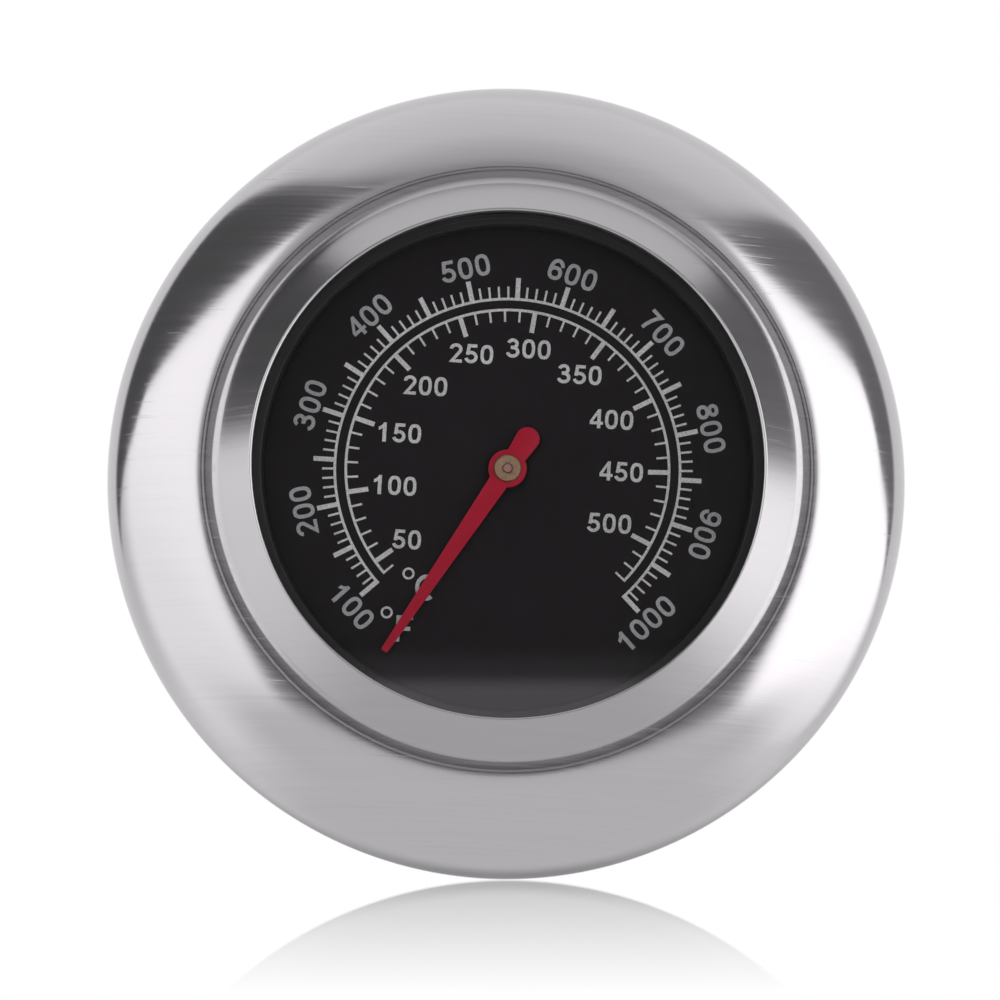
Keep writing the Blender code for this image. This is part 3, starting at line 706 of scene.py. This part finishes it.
def draw_figures():
    """Every printed figure as a list of shapes, each an outline with its holes."""
    h = PEN / 2.0
    right = FIGURE_WIDTH - h
    middle = FIGURE_WIDTH / 2.0
    figures = {"0": [pen_ring((middle, 0.5), (middle - h, 0.5 - h), power=2.5)]}
    figures["1"] = [[[(0.27, 0.0), (0.46, 0.0), (0.46, 1.0), (0.31, 1.0), (0.26, 0.90), (0.17, 0.82),
                      (0.06, 0.77), (0.06, 0.60), (0.17, 0.64), (0.27, 0.71)]]]
    bowl = arc((middle, 0.70), (middle - h, 0.30 - h), 178, -32, 24)
    figures["2"] = [pen_stroke(bowl + [(0.14, h), (FIGURE_WIDTH, h)])]
    upper = arc((0.30, 0.725), (0.215, 0.275 - h), 168, -90, 24) + [(0.20, 0.535)]
    lower = [(0.24, 0.52)] + arc((0.31, 0.30), (right - 0.31, 0.22), 90, -168, 24)
    figures["3"] = [pen_stroke(upper), pen_stroke(lower)]
    figures["4"] = [[[(0.40, 0.0), (0.575, 0.0), (0.575, 0.20), (0.70, 0.20), (0.70, 0.355), (0.575, 0.355),
                      (0.575, 1.0), (0.43, 1.0), (0.02, 0.37), (0.02, 0.20), (0.40, 0.20)],
                     [(0.40, 0.355), (0.40, 0.71), (0.175, 0.355)]]]
    bowl = arc((0.315, 0.325), (right - 0.315, 0.325 - h), 128, -165, 24)
    figures["5"] = [pen_stroke([(0.62, 1.0 - h), (0.20, 1.0 - h), (0.135, 0.43)]), pen_stroke(bowl)]
    tail = [(h, 0.33), (h, 0.50)] + arc((0.36, 0.50), (0.36 - h, 0.50 - h), 180, 22, 24)[1:]
    figures["6"] = [pen_ring((middle, 0.325), (middle - h, 0.325 - h)), pen_stroke(tail)]
    leg = [(0.57, 1.0 - h), (0.46, 0.74), (0.37, 0.50), (0.31, 0.26), (0.285, 0.0)]
    figures["7"] = [pen_stroke([(0.04, 1.0 - h)] + leg)]
    figures["8"] = [pen_ring((middle, 0.755), (0.205, 0.245 - h)),
                    pen_ring((middle, 0.285), (middle - h, 0.285 - h))]
    figures["9"] = half_turn(figures["6"])
    figures["C"] = [pen_stroke(arc((0.42, 0.5), (0.42 - h, 0.5 - h), 52, 308, 40), UNIT_PEN)]
    figures["F"] = [pen_stroke([(h, 0.0), (h, 1.0 - h), (0.62, 1.0 - h)], UNIT_PEN),
                    pen_stroke([(h, 0.50), (0.54, 0.50)], UNIT_PEN)]
    figures["degree"] = [pen_ring((0.5, 0.5), (0.41, 0.41), 0.18, 2.0)]
    return figures


def printed_corners(flat, height, centre, turn_deg, offset):
    """A figure's points on the dial, turned clockwise about its middle."""
    turn = math.radians(turn_deg)
    corners = []
    for point in (p for loop in flat for p in loop):
        x, y = (point.x - offset) * height, (point.y - 0.5) * height
        across = centre[0] + x * math.cos(turn) + y * math.sin(turn)
        corners.append((across, centre[1] - x * math.sin(turn) + y * math.cos(turn)))
    return corners


def make_figures(name, placed, ink):
    """Printed figures as one piece; each is (figure, height, centre, clockwise turn, middle)."""
    figures = draw_figures()
    points, faces = [], []
    top = front_of("dial_plate")
    for figure, height, centre, turn_deg, offset in placed:
        for layer, loops in enumerate(figures[figure]):
            flat = [[Vector((x, y, 0.0)) for x, y in loop] for loop in loops]
            corners = printed_corners(flat, height, centre, turn_deg, offset)
            base, count = len(points), len(corners)
            for z in (top - INK - PATCH * layer, top + INK + PATCH * layer):
                points += [place(x, y, z) for x, y in corners]
            for t in geometry.tessellate_polygon(flat):
                faces.append(tuple(base + i for i in t))
                faces.append(tuple(base + count + i for i in reversed(t)))
            start = base
            for loop in flat:
                for k in range(len(loop)):
                    m = (k + 1) % len(loop)
                    faces.append((start + k, start + m, start + count + m, start + count + k))
                start += len(loop)
    piece = body_of(name, points, faces, ink)
    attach(piece, "case")


def spell(text, height, centre, turn_deg):
    """A number's figures side by side, centred on a point and turned clockwise."""
    turn = math.radians(turn_deg)
    placed = []
    for k, figure in enumerate(text):
        along = (k - (len(text) - 1) / 2.0) * FIGURE_ADVANCE * height
        middle = (centre[0] + along * math.cos(turn), centre[1] - along * math.sin(turn))
        placed.append((figure, height, middle, turn_deg, FIGURE_WIDTH / 2.0))
    return placed


# Fahrenheit numbers stand on a circle and turn with it, upright where they would be upside down;
# Celsius numbers all stand upright, each kept clear of the scale by its own half width and height
F_LABEL_RADIUS = 19.75
F_LABEL_HEIGHT = 2.08
C_LABEL_HEIGHT = 1.84
C_LABEL_REACH = 13.5
C_LABEL_HALF = (2.7, 1.7)
TWO_FIGURES_LESS = 0.8
UPSIDE_DOWN_DEG = 120.0
UNIT_PEN = 0.15
UNIT_HEIGHT = 2.55
DEGREE_SIZE = 1.15
# Each unit letter, its place, its own middle in heights, and the place of its degree ring
UNITS = (("C", (-7.1, -11.75), 0.4, (-8.8, -10.5)), ("F", (-8.95, -15.8), 0.3, (-10.65, -14.35)))


def make_labels(ink, outer_ink):
    placed = []
    for f in range(F_FIRST, F_LAST + 1, 100):
        angle = f_angle(f)
        turn = angle + 180.0 if abs(angle) > UPSIDE_DOWN_DEG else angle
        placed += spell(str(f), F_LABEL_HEIGHT, spot(F_LABEL_RADIUS, angle), turn)
    make_figures("numerals_fahrenheit", placed, outer_ink)
    placed = []
    for c in range(50, 501, 50):
        x, y = spot(1.0, c_angle(c))
        half = C_LABEL_HALF[0] - (TWO_FIGURES_LESS if c < 100 else 0.0)
        reach = C_LABEL_REACH - math.hypot(half * x, C_LABEL_HALF[1] * y)
        placed += spell(str(c), C_LABEL_HEIGHT, (reach * x, reach * y), 0.0)
    make_figures("numerals_celsius", placed, ink)
    placed = []
    for letter, centre, middle, ring in UNITS:
        placed.append((letter, UNIT_HEIGHT, centre, 0.0, middle))
        placed.append(("degree", DEGREE_SIZE, ring, 0.0, 0.5))
    make_figures("unit_marks", placed, ink)


# ---------------------------------------------------------------- pointer

POINTER_TIP = 21.1
POINTER_TIP_HALF = 0.35
POINTER_TIP_CORNER = 0.12
POINTER_NECK_HALF = 0.95
POINTER_HEAD = 1.82
POINTER_TAIL_NECK_HALF = 0.98
POINTER_TAIL_HALF = 1.15
POINTER_TAIL_CENTRE = 3.4
POINTER_EDGE = 0.05
REST_F = 51.7
BOSS_BORE = 0.44
BOSS_FLANGE = 1.15
BOSS_FLANGE_EDGE = 0.05
BOSS_FLANGE_TOP_Z = 13.58
BOSS_NECK = 0.85
BOSS_HEAD = 1.3
BOSS_HEAD_BOTTOM_Z = 13.9
BOSS_HEAD_EDGE = 0.04
BOSS_HEAD_ROUND = 0.12


def pointer_outline():
    corner = POINTER_TIP_CORNER
    neck = math.degrees(math.asin(POINTER_NECK_HALF / POINTER_HEAD))
    tail = math.degrees(math.asin(POINTER_TAIL_NECK_HALF / POINTER_HEAD))
    outline = arc((POINTER_TIP - corner, POINTER_TIP_HALF - corner), (corner, corner), 0, 90, 4)
    outline += arc((0.0, 0.0), (POINTER_HEAD, POINTER_HEAD), neck, 180.0 - tail, 20)
    outline += arc((-POINTER_TAIL_CENTRE, 0.0), (POINTER_TAIL_HALF, POINTER_TAIL_HALF), 90, 270, 24)
    outline += arc((0.0, 0.0), (POINTER_HEAD, POINTER_HEAD), 180.0 + tail, 360.0 - neck, 20)
    outline += arc((POINTER_TIP - corner, corner - POINTER_TIP_HALF), (corner, corner), -90, 0, 4)
    return outline


def make_pointer():
    """The blade, laid along its reading at rest."""
    turn = math.radians(90.0 - f_angle(REST_F))
    bottom, top = back_of("pointer"), front_of("pointer")
    crimson = (0.52, 0.0070, 0.035)
    red = coating("pointer_paint", crimson, 0.36, speck=0.08, speck_scale=900.0, shine=0.2, depth=0.1)
    outline = [(x * math.cos(turn) - y * math.sin(turn), x * math.sin(turn) + y * math.cos(turn))
               for x, y in pointer_outline()]
    rings = [[(x, y, z) for x, y in outline] for z in (bottom, top)]
    blade = loft("pointer_blade", rings, False, red)
    shell = bmesh.new()
    shell.from_mesh(blade.data)
    rim = [e for e in shell.edges if len(e.link_faces) == 2 and abs(e.calc_face_angle(0.0)) > 1.0]
    bmesh.ops.bevel(shell, geom=rim, offset=POINTER_EDGE * MM, segments=2, affect="EDGES", profile=0.6)
    shell.to_mesh(blade.data)
    shell.free()
    smooth(blade, 35.0)
    settle(blade, "pointer", "pointer")


def make_boss():
    """A brass bush riveted through the pointer, its head dished round the shaft's end."""
    grain = (2600.0, 2600.0, 2600.0)
    brass = metal("boss_brass", (0.47, 0.315, 0.205), 0.48, grain=grain, grain_depth=0.5, tone=0.5)
    bottom, top = back_of("pointer_bush"), front_of("pointer_bush")
    section = [(BOSS_BORE, bottom), (BOSS_FLANGE - BOSS_FLANGE_EDGE, bottom)]
    section += [(BOSS_FLANGE, bottom + BOSS_FLANGE_EDGE), (BOSS_FLANGE, BOSS_FLANGE_TOP_Z)]
    section += [(BOSS_NECK, BOSS_FLANGE_TOP_Z), (BOSS_NECK, BOSS_HEAD_BOTTOM_Z)]
    section += [(BOSS_HEAD - BOSS_HEAD_EDGE, BOSS_HEAD_BOTTOM_Z)]
    section += [(BOSS_HEAD, BOSS_HEAD_BOTTOM_Z + BOSS_HEAD_EDGE)]
    round_at = (BOSS_HEAD - BOSS_HEAD_ROUND, top - BOSS_HEAD_ROUND)
    section += arc(round_at, (BOSS_HEAD_ROUND, BOSS_HEAD_ROUND), 0, 90, 4)
    section += [(0.62, top - 0.01), (0.50, top - 0.05), (BOSS_BORE, top - 0.09)]
    settle(turned("boss", section, 64, brass), "pointer", "pointer_bush")


def assign_plain_cad():
    """Pieces hidden inside keep their CAD shape and get a finish of their own."""
    finishes = {
        "dial_carrier": metal("carrier_sheet", (0.55, 0.55, 0.56), 0.35),
        "backing_washer": metal("backing_sheet", (0.5, 0.5, 0.5), 0.4),
        "coil_anchor_plug": metal("plug_turned", (0.45, 0.45, 0.45), 0.45),
        "bimetal_coil": metal("strip_rolled", (0.5, 0.46, 0.4), 0.35),
        "coil_hub": metal("hub_turned", (0.6, 0.45, 0.24), 0.4),
        "rear_guide_bush": metal("guide_turned", (0.6, 0.46, 0.26), 0.4),
        "front_bearing_bush": metal("bearing_turned", (0.62, 0.47, 0.25), 0.35),
        "shaft_collar": metal("collar_turned", (0.64, 0.48, 0.26), 0.3),
        "pointer_shaft": metal("shaft_drawn", (0.42, 0.23, 0.19), 0.4),
    }
    for node, finish in finishes.items():
        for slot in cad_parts[node].material_slots:
            slot.material = finish


# ---------------------------------------------------------------- rear hardware

ROUND = 72
COVER_SHEET = 0.6
# The cover's rear face as (radius, height): rim, step, base, a pressed bead, and the hole
COVER_REAR = (
    (35.4, 0.78), (32.8, 0.78), (30.8, 3.9), (21.5, 3.9),
    (20.5, 3.3), (18.5, 3.3), (17.5, 3.9), (5.1, 3.9),
)
COVER_STEP = (30.0, 33.0)
COVER_BEND_SHIFT = 0.4
HEX_APOTHEM = 7.0
HEX_CHAMFER = 0.6
HEX_TOP_Z = 3.84
NOSE = (5.0, 5.42, 5.7, 6.0)
BUSHING_BORE = 2.55
RELIEF = (4.4, 0.6)
UNDERCUT = (3.2, -0.8)
THREAD_START_Z = -1.0
THREAD_PITCH = 1.25
THREAD_TURNS = 14
THREAD_ROWS = 12
THREAD_RADII = (3.25, 4.0)
THREAD_END_CHAMFER = 0.5
TUBE_BORE = 2.15
TUBE_RADIUS = 2.5
TIP_ROUND = 1.0
WELD_GAP = 0.04
SPIGOT_RADIUS = 2.1
WASHER_RADII = (4.2, 8.0)
LOCK_RADII = (4.15, 7.2)
LOCK_THICKNESS = 1.8
LOCK_RISE = 0.16
LOCK_SPLIT_DEG = 10.0
NUT_BORE = 4.06
NUT_CHAMFER = 0.5
NUT_RADII = (8.0, 6.2)
NUT_HEIGHT = 8.8
WING_HALF_THICKNESS = 1.7
WING_ROUND = 0.9
WING_ROUND_RINGS = 6
# One wing seen from its side: (distance from the axis, distance behind the nut's front)
WING_OUTLINE = (
    (5.2, 1.1), (7.0, 1.2), (10.6, 3.2), (14.2, 5.9), (17.2, 8.6), (19.0, 11.6), (19.5, 14.6),
    (18.9, 17.4), (17.3, 19.3), (15.2, 20.0), (13.1, 19.5), (11.6, 18.0), (10.7, 15.8),
    (9.6, 13.2), (7.9, 10.6), (6.1, 9.0), (5.2, 8.0),
)


def eased(profile, size, steps=4):
    """A closed section with every corner rounded."""
    points = []
    for k, corner in enumerate(profile):
        before, after = profile[k - 1], profile[(k + 1) % len(profile)]
        room = min(size, 0.45 * math.dist(corner, before), 0.45 * math.dist(corner, after))
        points += soften(before, corner, after, room, steps)
    return points


def make_cover():
    """A pressed disc; its front face is the rear one moved by the sheet, and outwards on the step."""
    steel = metal("cover_sheet", (0.56, 0.56, 0.57), 0.3, grain=(700.0, 700.0, 700.0), grain_depth=0.25)
    front = []
    for r, z in reversed(COVER_REAR):
        shift = COVER_BEND_SHIFT if COVER_STEP[0] < r < COVER_STEP[1] else 0.0
        front.append((r + shift, z + COVER_SHEET))
    section = eased(list(COVER_REAR) + front, 0.5, 5)
    settle(turned("rear_cover", section, ROUND * 2, steel), "case", "back_cover")


def hex_ring(height, inset):
    """A hexagon's outline whose corners are turned down by an inset."""
    limit = HEX_APOTHEM / math.cos(math.pi / 6.0) - inset
    ring = []
    for j in range(ROUND):
        angle = 2.0 * math.pi * j / ROUND
        radius = min(HEX_APOTHEM / math.cos(angle % (math.pi / 3.0) - math.pi / 6.0), limit)
        ring.append((radius * math.cos(angle), radius * math.sin(angle), height))
    return ring


def make_thread():
    """Rings whose radius follows a right-hand helix, with flat crests and roots."""
    rings = []
    steps = THREAD_TURNS * THREAD_ROWS
    root, crest = THREAD_RADII
    for i in range(steps + 1):
        fade = min(1.0, i / THREAD_ROWS, (steps - i) / THREAD_ROWS)
        ring = []
        for j in range(ROUND):
            angle = 2.0 * math.pi * j / ROUND
            turns = (i / THREAD_ROWS + angle / (2.0 * math.pi)) % 1.0
            high = min(1.0, max(0.0, 1.15 - 2.6 * min(turns, 1.0 - turns)))
            radius = root + fade * (crest - root) * high
            ring.append((radius * math.cos(angle), radius * math.sin(angle),
                         THREAD_START_Z - THREAD_PITCH * i / THREAD_ROWS))
        rings.append(ring)
    return rings


def make_bushing():
    """Riveted nose, hex collar, relief and threaded shank, skinned as one row of rings round the bore."""
    steel = metal("bushing_turned", (0.58, 0.58, 0.58), 0.28, grain=(300.0, 2200.0, 300.0), grain_depth=0.3)
    threads = make_thread()
    end_z = threads[-1][0][2] - THREAD_END_CHAMFER
    nose, shoulder_z, rivet, rivet_z = NOSE
    section = [(BUSHING_BORE, rivet_z), (rivet - 0.25, rivet_z), (rivet - 0.07, rivet_z - 0.07)]
    section += [(rivet, rivet_z - 0.25), (rivet, shoulder_z), (nose, shoulder_z), (nose, HEX_TOP_Z)]
    rings = [circle(r, z, ROUND) for r, z in section]
    chamfer = ((0.0, 2.0 * HEX_CHAMFER), (HEX_CHAMFER / 2.0, HEX_CHAMFER * 0.8), (HEX_CHAMFER, 0.0))
    rings += [hex_ring(HEX_TOP_Z - height, inset) for height, inset in chamfer]
    rings += [hex_ring(height, inset) for height, inset in reversed(chamfer)]
    rings += [circle(RELIEF[0], 0.0, ROUND), circle(UNDERCUT[0], RELIEF[1], ROUND), circle(*UNDERCUT, ROUND)]
    rings += threads
    rings += [circle(THREAD_RADII[0] - THREAD_END_CHAMFER, end_z, ROUND), circle(BUSHING_BORE, end_z, ROUND)]
    settle(loft("threaded_bushing", rings, True, steel), "case", "hex_bushing")


def band(inner, outer, low, high):
    """A ring's plain square section."""
    return [(inner, low), (outer, low), (outer, high), (inner, high)]


def make_stem():
    tube_steel = metal("tube_drawn", (0.62, 0.62, 0.62), 0.2, grain=(2500.0, 40.0, 2500.0), grain_depth=0.25)
    rear, front = back_of("stem_tube"), front_of("stem_tube")
    section = eased(band(TUBE_BORE, TUBE_RADIUS, rear, front), 0.08, 3)
    settle(turned("stem", section, ROUND, tube_steel), "case", "stem_tube")
    tip_steel = metal("tip_ground", (0.6, 0.6, 0.6), 0.3, grain=(1400.0, 1400.0, 1400.0), grain_depth=0.3)
    tip_z, spigot_z, joint_z = back_of("tip_cap"), front_of("tip_cap"), rear - WELD_GAP
    section = [(SPIGOT_RADIUS - 0.1, spigot_z), (SPIGOT_RADIUS, spigot_z - 0.1), (SPIGOT_RADIUS, joint_z)]
    section += [(TUBE_RADIUS - 0.06, joint_z), (TUBE_RADIUS, joint_z - 0.06)]
    section += arc((TUBE_RADIUS - TIP_ROUND, tip_z + TIP_ROUND), (TIP_ROUND, TIP_ROUND), 0, -90, 14)
    settle(turned("stem_tip", section, ROUND, tip_steel, closed=False), "case", "tip_cap")


def make_washers():
    """The flat washer, and the split lock washer as a rectangle swept round one rising turn."""
    steel = metal("washer_stamped", (0.62, 0.62, 0.62), 0.3, grain=(500.0, 500.0, 500.0), grain_depth=0.3)
    section = eased(band(*WASHER_RADII, back_of("flat_washer"), front_of("flat_washer")), 0.3, 4)
    settle(turned("washer", section, ROUND, steel), "washers", "flat_washer")
    spring = metal("lock_coiled", (0.45, 0.45, 0.46), 0.35, grain=(900.0, 900.0, 900.0), grain_depth=0.3)
    front = front_of("lock_washer")
    rings = []
    for i in range(ROUND + 1):
        angle = math.radians(LOCK_SPLIT_DEG / 2.0 + (360.0 - LOCK_SPLIT_DEG) * i / ROUND)
        top = front - LOCK_RISE * i / ROUND
        section = eased(band(*LOCK_RADII, top - LOCK_THICKNESS, top), 0.2, 3)
        rings.append([(r * math.cos(angle), r * math.sin(angle), z) for r, z in section])
    settle(loft("spring_washer", rings, False, spring), "washers", "lock_washer")


def smooth_loop(points, steps=4):
    """A curve through the points; its ends, inside the nut's body, stay as corners."""
    last = len(points) - 1
    loop = []
    for k in range(last):
        a, b, c, d = points[max(k - 1, 0)], points[k], points[k + 1], points[min(k + 2, last)]
        for t in (step / steps for step in range(steps)):
            loop.append(tuple(0.5 * (2.0 * b[i] + (c[i] - a[i]) * t
                                     + (2.0 * a[i] - 5.0 * b[i] + 4.0 * c[i] - d[i]) * t * t
                                     + (3.0 * b[i] - a[i] - 3.0 * c[i] + d[i]) * t ** 3) for i in (0, 1)))
    return loop + [points[last]]


def shrink(loop, inset):
    """Move a clockwise or anticlockwise loop's points inwards along their normals."""
    area = sum(loop[k - 1][0] * loop[k][1] - loop[k][0] * loop[k - 1][1] for k in range(len(loop)))
    sign = 1.0 if area > 0.0 else -1.0
    moved = []
    for k, here in enumerate(loop):
        before, after = loop[k - 1], loop[(k + 1) % len(loop)]
        along = (after[0] - before[0], after[1] - before[1])
        step = sign * inset / math.hypot(*along)
        moved.append((here[0] - along[1] * step, here[1] + along[0] * step))
    return moved


def gather(name, pieces):
    """Several closed bodies as one object with the first one's material."""
    shell = bmesh.new()
    for piece in pieces:
        shell.from_mesh(piece.data)
    whole = bpy.data.objects.new(name, bpy.data.meshes.new(name))
    shell.to_mesh(whole.data)
    shell.free()
    whole.data.materials.append(pieces[0].data.materials[0])
    bpy.context.scene.collection.objects.link(whole)
    for piece in pieces:
        bpy.data.objects.remove(piece, do_unlink=True)
    return smooth(whole)


def nut_section(front):
    """The coned body's section, its outer edges softened and its bore countersunk."""
    rear = front - NUT_HEIGHT
    base, top = NUT_RADII
    wide = NUT_BORE + NUT_CHAMFER
    section = [(wide, front), (base - 0.5, front), (base - 0.15, front - 0.15), (base, front - 0.5)]
    section += [(top, rear + 0.5), (top - 0.12, rear + 0.18), (top - 0.5, rear), (wide, rear)]
    return section + [(NUT_BORE, rear + NUT_CHAMFER), (NUT_BORE, front - NUT_CHAMFER)]


def wing_rings(front, side):
    """A wing as rings across its thickness, drawn in towards both faces to round its edge."""
    loop = smooth_loop(WING_OUTLINE)
    steps = WING_ROUND_RINGS - 1
    rings = []
    for face, order in ((-1.0, range(steps, -1, -1)), (1.0, range(steps + 1))):
        for k in order:
            a = math.radians(90.0 * k / steps)
            y = face * (WING_HALF_THICKNESS - WING_ROUND + WING_ROUND * math.sin(a))
            edge = shrink(loop, WING_ROUND * (1.0 - math.cos(a)))
            rings.append([(side * x, y, front - z) for x, z in edge])
    return rings


def make_nut():
    """Cast wing nut: coned body and two rounded wings rooted in its wall."""
    grain = (1100.0, 1100.0, 1100.0)
    steel = metal("nut_cast", (0.57, 0.57, 0.57), 0.35, grain=grain, grain_depth=0.5, spread=0.1)
    front = front_of("wing_nut")
    parts = [turned("nut_body", nut_section(front), ROUND, steel)]
    for side in (1.0, -1.0):
        parts.append(loft("wing", wing_rings(front, side), False, steel))
    settle(gather("nut", parts), "nut", "wing_nut")


# ---------------------------------------------------------------- floor and card

FLOOR_HALF = 0.5
FLOOR_DROP = 0.00002
CARD_HALF_WIDTH = 30.0
CARD_TOP = -16.93
CARD_BOTTOM = -27.5
CARD_REACH = 1.0 / 3.0


def stage_sheet(name, corners, skin):
    """One flat sheet of the stage, which is left out of the object."""
    mesh = bpy.data.meshes.new(name)
    mesh.from_pydata(corners, [], [(0, 1, 2, 3)])
    mesh.materials.append(skin)
    sheet = bpy.data.objects.new(name, mesh)
    bpy.context.scene.collection.objects.link(sheet)
    sheet.visible_diffuse = False
    sheet.visible_shadow = False
    sheet.visible_transmission = False
    return sheet


def make_floor():
    """A pale glossy floor under the bezel, whose mirror image fades with distance."""
    tilt = math.radians(FLOOR_DEG)
    up = (cam_up * math.cos(tilt) + cam_back * math.sin(tilt)).normalized()
    bezel = bpy.data.objects["bezel_shell"]
    touch = min((p.co for p in bezel.data.vertices), key=lambda co: co.dot(up)).copy()
    across = cam_right
    ahead = up.cross(across).normalized()
    made, n = new_material("floor_pale")
    here = n.add("NewGeometry", out="Position")
    from_touch = n.add("VectorMath", {0: here, 1: touch}, operation="SUBTRACT")
    towards = n.dot(from_touch, -ahead)
    fade = n.line(towards, -0.01, 0.105, 0.80, 0.0)
    sideways = n.math("ABSOLUTE", n.dot(from_touch, across))
    fade = n.times(fade, n.ease(sideways, 0.12, 0.06))
    fade = n.times(fade, n.ease(towards, -0.09, -0.05))
    under = n.add("NewGeometry", out="Backfacing")
    fade = n.times(fade, n.minus(1.0, under))
    haze = n.noise(n.coords((25.0, 25.0, 25.0)), 2.0)
    polish = n.line(haze, 0.3, 0.7, 0.0, 0.03)
    mirror = n.add("BsdfGlossy", {"Color": (1.0, 1.0, 1.0, 1.0), "Roughness": polish})
    finish_tree(n, n.add("MixShader", {0: fade, 1: n.add("BsdfTransparent"), 2: mirror}))
    corners = []
    for a, b in ((-1.0, -1.0), (1.0, -1.0), (1.0, 1.0), (-1.0, 1.0)):
        corners.append(touch + across * a * FLOOR_HALF + ahead * b * FLOOR_HALF - up * FLOOR_DROP)
    floor = stage_sheet("floor", corners, made)
    if floor.data.polygons[0].normal.dot(up) < 0.0:
        floor.data.flip_normals()
    floor.visible_glossy = False


def make_card():
    """A pale card far in front, out of the camera's sight, that the glass mirrors low down.

    Its sizes are those of its mirror image on the glass, which a reach of the camera's distance enlarges.
    """
    camera = bpy.context.scene.camera.matrix_world.translation
    middle = Vector(place(0.0, 0.0, front_of("glass_lens")))
    mirrored = Vector((camera.x, 2.0 * middle.y - camera.y, camera.z))
    along = Vector((cam_right.x, 0.0, cam_right.z)).normalized()
    across = Vector((-along.z, 0.0, along.x))
    made, n = new_material("card_pale")
    corners = []
    for x, y in ((-1.0, CARD_TOP), (1.0, CARD_TOP), (1.0, CARD_BOTTOM), (-1.0, CARD_BOTTOM)):
        seen = middle + (along * x * CARD_HALF_WIDTH + across * y) * MM
        corners.append(seen + (seen - mirrored) * CARD_REACH)
    height = n.dot(n.add("TexCoord", out="Object"), tuple(across))
    depth = n.math("DIVIDE", n.minus(across.dot(corners[0]), height), MM * (1.0 + CARD_REACH))
    soft = n.plus(n.ease(depth, 0.0, 2.6, 0.0, 0.17), n.ease(depth, 2.6, 4.7, 0.0, 0.83))
    glow = n.add("Emission", {"Color": (1.0, 0.955, 1.0, 1.0), "Strength": 0.9})
    finish_tree(n, n.add("MixShader", {0: soft, 1: n.add("BsdfTransparent"), 2: glow}))
    stage_sheet("card", corners, made).visible_camera = False


make_camera()
make_world()
make_bezel()
make_gasket()
make_lens()
make_spacer()
make_dial()
silver = coating("dial_ink", (0.90, 0.90, 0.91), 0.45, speck=0.55, speck_scale=5000.0)
grey = coating("dial_ink_outer", (0.47, 0.47, 0.48), 0.45, speck=0.45, speck_scale=7000.0)
make_scales(silver)
make_labels(silver, grey)
make_pointer()
make_boss()
make_cover()
make_bushing()
make_stem()
make_washers()
make_nut()
assign_plain_cad()
make_floor()
make_card()
bpy.context.scene.view_settings.view_transform = "Standard"
